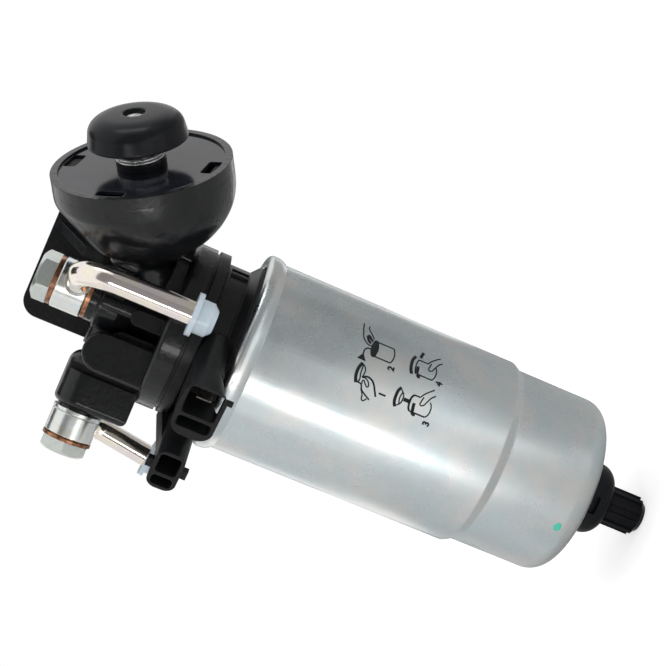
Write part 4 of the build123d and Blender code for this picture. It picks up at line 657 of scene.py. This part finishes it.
# Third: the can goes up onto the head
pen(0.90, (5.4, -127.2), (7.0, -126.4), (9.6, -126.1), (12.2, -126.4), (13.8, -127.2))
pen(0.40, (6.2, -127.6), (7.6, -128.9), (9.6, -129.3), (11.6, -128.9), (13.0, -127.6))
pen(0.40, (7.1, -128.4), (9.6, -127.9), (12.1, -128.4))
pen(1.00, (9.6, -129.7), (9.6, -132.2), sharp=True)
pen(0.60, (5.9, -133.4), (7.4, -132.6), (9.6, -132.4), (11.8, -132.6), (13.0, -133.4))
pen(0.40, (6.0, -133.4), (6.0, -140.4), sharp=True)
pen(0.40, (6.0, -140.4), (7.2, -141.3), (9.6, -141.7), (11.4, -141.4), (12.6, -140.6))
pen(0.40, (13.0, -133.4), (13.0, -136.0), sharp=True)
pen(0.85, (5.4, -136.3), (5.4, -135.2), (7.2, -134.6), (9.8, -134.3))
hand_below(13.0, -136.0)
numeral("3", 3.8, -142.0)

# Fourth: a hand tightens it
pen(0.95, (21.2, -129.4), (23.2, -128.6), (25.8, -128.3), (28.4, -128.6), (30.0, -129.4))
pen(0.40, (21.8, -130.9), (24.0, -130.4), (26.6, -130.4), (28.9, -130.9))
pen(0.95, (22.4, -131.5), (25.6, -131.3), sharp=True)
pen(0.85, (21.2, -133.2), (21.1, -132.3), (22.4, -131.9))
pen(0.40, (22.0, -132.6), (22.0, -138.3), sharp=True)
pen(0.40, (22.0, -138.3), (23.4, -139.1), (25.5, -139.5), (27.2, -139.3), (28.4, -138.9))
pen(0.40, (28.9, -130.9), (28.9, -135.2), sharp=True)
pen(0.95, (30.4, -131.5), (33.5, -132.3), sharp=True)
hand_below(28.9, -135.2)
numeral("4", 21.7, -141.8)

bpy.ops.object.select_all(action="DESELECT")
for drawn in ink_lines:
    drawn.select_set(True)
bpy.context.view_layer.objects.active = ink_lines[0]
bpy.ops.object.convert(target="MESH")
bpy.ops.object.transform_apply(location=True, rotation=True, scale=True)
bpy.ops.object.join()
figures = bpy.context.object
figures.name = "servicing_figures"
bpy.ops.object.mode_set(mode="EDIT")
bpy.ops.mesh.select_all(action="SELECT")
bpy.ops.mesh.remove_doubles(threshold=0.000002)
bpy.ops.transform.resize(value=(1, 0.22, 1), center_override=(0, 0, 0))
bpy.ops.mesh.normals_make_consistent(inside=False)
bpy.ops.object.mode_set(mode="OBJECT")
can_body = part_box("can_shell")
CAN_RADIUS = 0.042
across = [corner.co.x for corner in figures.data.vertices]
wrap = figures.modifiers.new("wrap", "SIMPLE_DEFORM")
wrap.deform_method = "BEND"
wrap.deform_axis = "Z"
wrap.angle = (max(across) - min(across)) / CAN_RADIUS
bpy.ops.object.modifier_apply(modifier="wrap")
can_middle = (can_body[0] + can_body[1]) / 2
figures.location = (can_middle.x, can_middle.y - CAN_RADIUS, 0)
bpy.ops.object.transform_apply(location=True, rotation=False, scale=False)
ink, place = new_material("dark printing ink")
worn = noise(place, 1500, 3.0)
tone = worn.blend((0.006, 0.007, 0.009), (0.016, 0.018, 0.022))
finish("ink", tone, bump(worn, 0.00001, soft_edges(place, 0.00003)), worn * 0.2 + 0.45,
       Specular_IOR_Level=0.2)
figures.data.materials.clear()
figures.data.materials.append(ink)
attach(figures, "canister")


# A dab of green inspection paint sits near the canister's bottom, put on with a small brush.
bpy.ops.object.select_all(action="DESELECT")
bpy.ops.mesh.primitive_ico_sphere_add(subdivisions=4, radius=0.0019)
dab = bpy.context.object
dab.name = "inspection_dab"
brushed = bpy.data.textures.new("brushed edge", "CLOUDS")
brushed.noise_scale = 0.0016
uneven = dab.modifiers.new("uneven", "DISPLACE")
uneven.texture = brushed
uneven.strength = 0.0011
bpy.ops.object.modifier_apply(modifier="uneven")
dab.scale = (1.0, 0.07, 0.85)
DAB_TURN = radians(-22.2)
DAB_HEIGHT = -0.212
dab.rotation_euler = (0, 0, DAB_TURN)
LOWER_CAN_RADIUS = 0.0398
out_of_can = Vector((sin(DAB_TURN), -cos(DAB_TURN), 0)) * LOWER_CAN_RADIUS
dab.location = Vector((can_middle.x, can_middle.y, DAB_HEIGHT)) + out_of_can
bpy.ops.object.transform_apply(location=True, rotation=True, scale=True)
bpy.ops.object.shade_smooth()
teal, place = new_material("green inspection paint")
thin = noise(place, 900, 3.0)
tone = thin.blend((0.04, 0.50, 0.36), (0.10, 0.62, 0.46))
finish("dab", tone, bump(thin, 0.00003, soft_edges(place, 0.0001)), thin * 0.2 + 0.35)
dab.data.materials.append(teal)
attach(dab, "canister")


# Inside the canister: the pleated paper between its two moulded end caps, the bored
# centre tube, and the heater plate in the ring above.
paper, place = new_material("resin-treated filter paper")
fibre = noise(place, 1600, 5.0, 0.7)
tone = fibre.blend((0.66, 0.56, 0.36), (0.82, 0.74, 0.54))
finish("paper", tone, bump(fibre, 0.0001, soft_edges(place, 0.0002)), fibre * 0.1 + 0.8)
dress(paper, "pleated_element")

grey_plastic, place = new_material("grey moulded plastic")
haze = noise(place, 500, 3.0)
tone = haze.blend((0.16, 0.16, 0.16), (0.20, 0.20, 0.205))
finish("grey", tone, bump(haze, 0.00003, soft_edges(place, 0.0004)), haze * 0.2 + 0.4)
dress(grey_plastic, "upper_end_cap", "lower_end_cap", "centre_tube")

ceramic, place = new_material("sintered heater plate")
grit = noise(place, 1400, 4.0)
tone = grit.blend((0.40, 0.39, 0.37), (0.50, 0.49, 0.47))
finish("ceramic", tone, bump(grit, 0.00006, soft_edges(place, 0.0003)), grit * 0.2 + 0.6)
dress(ceramic, "heater_element")
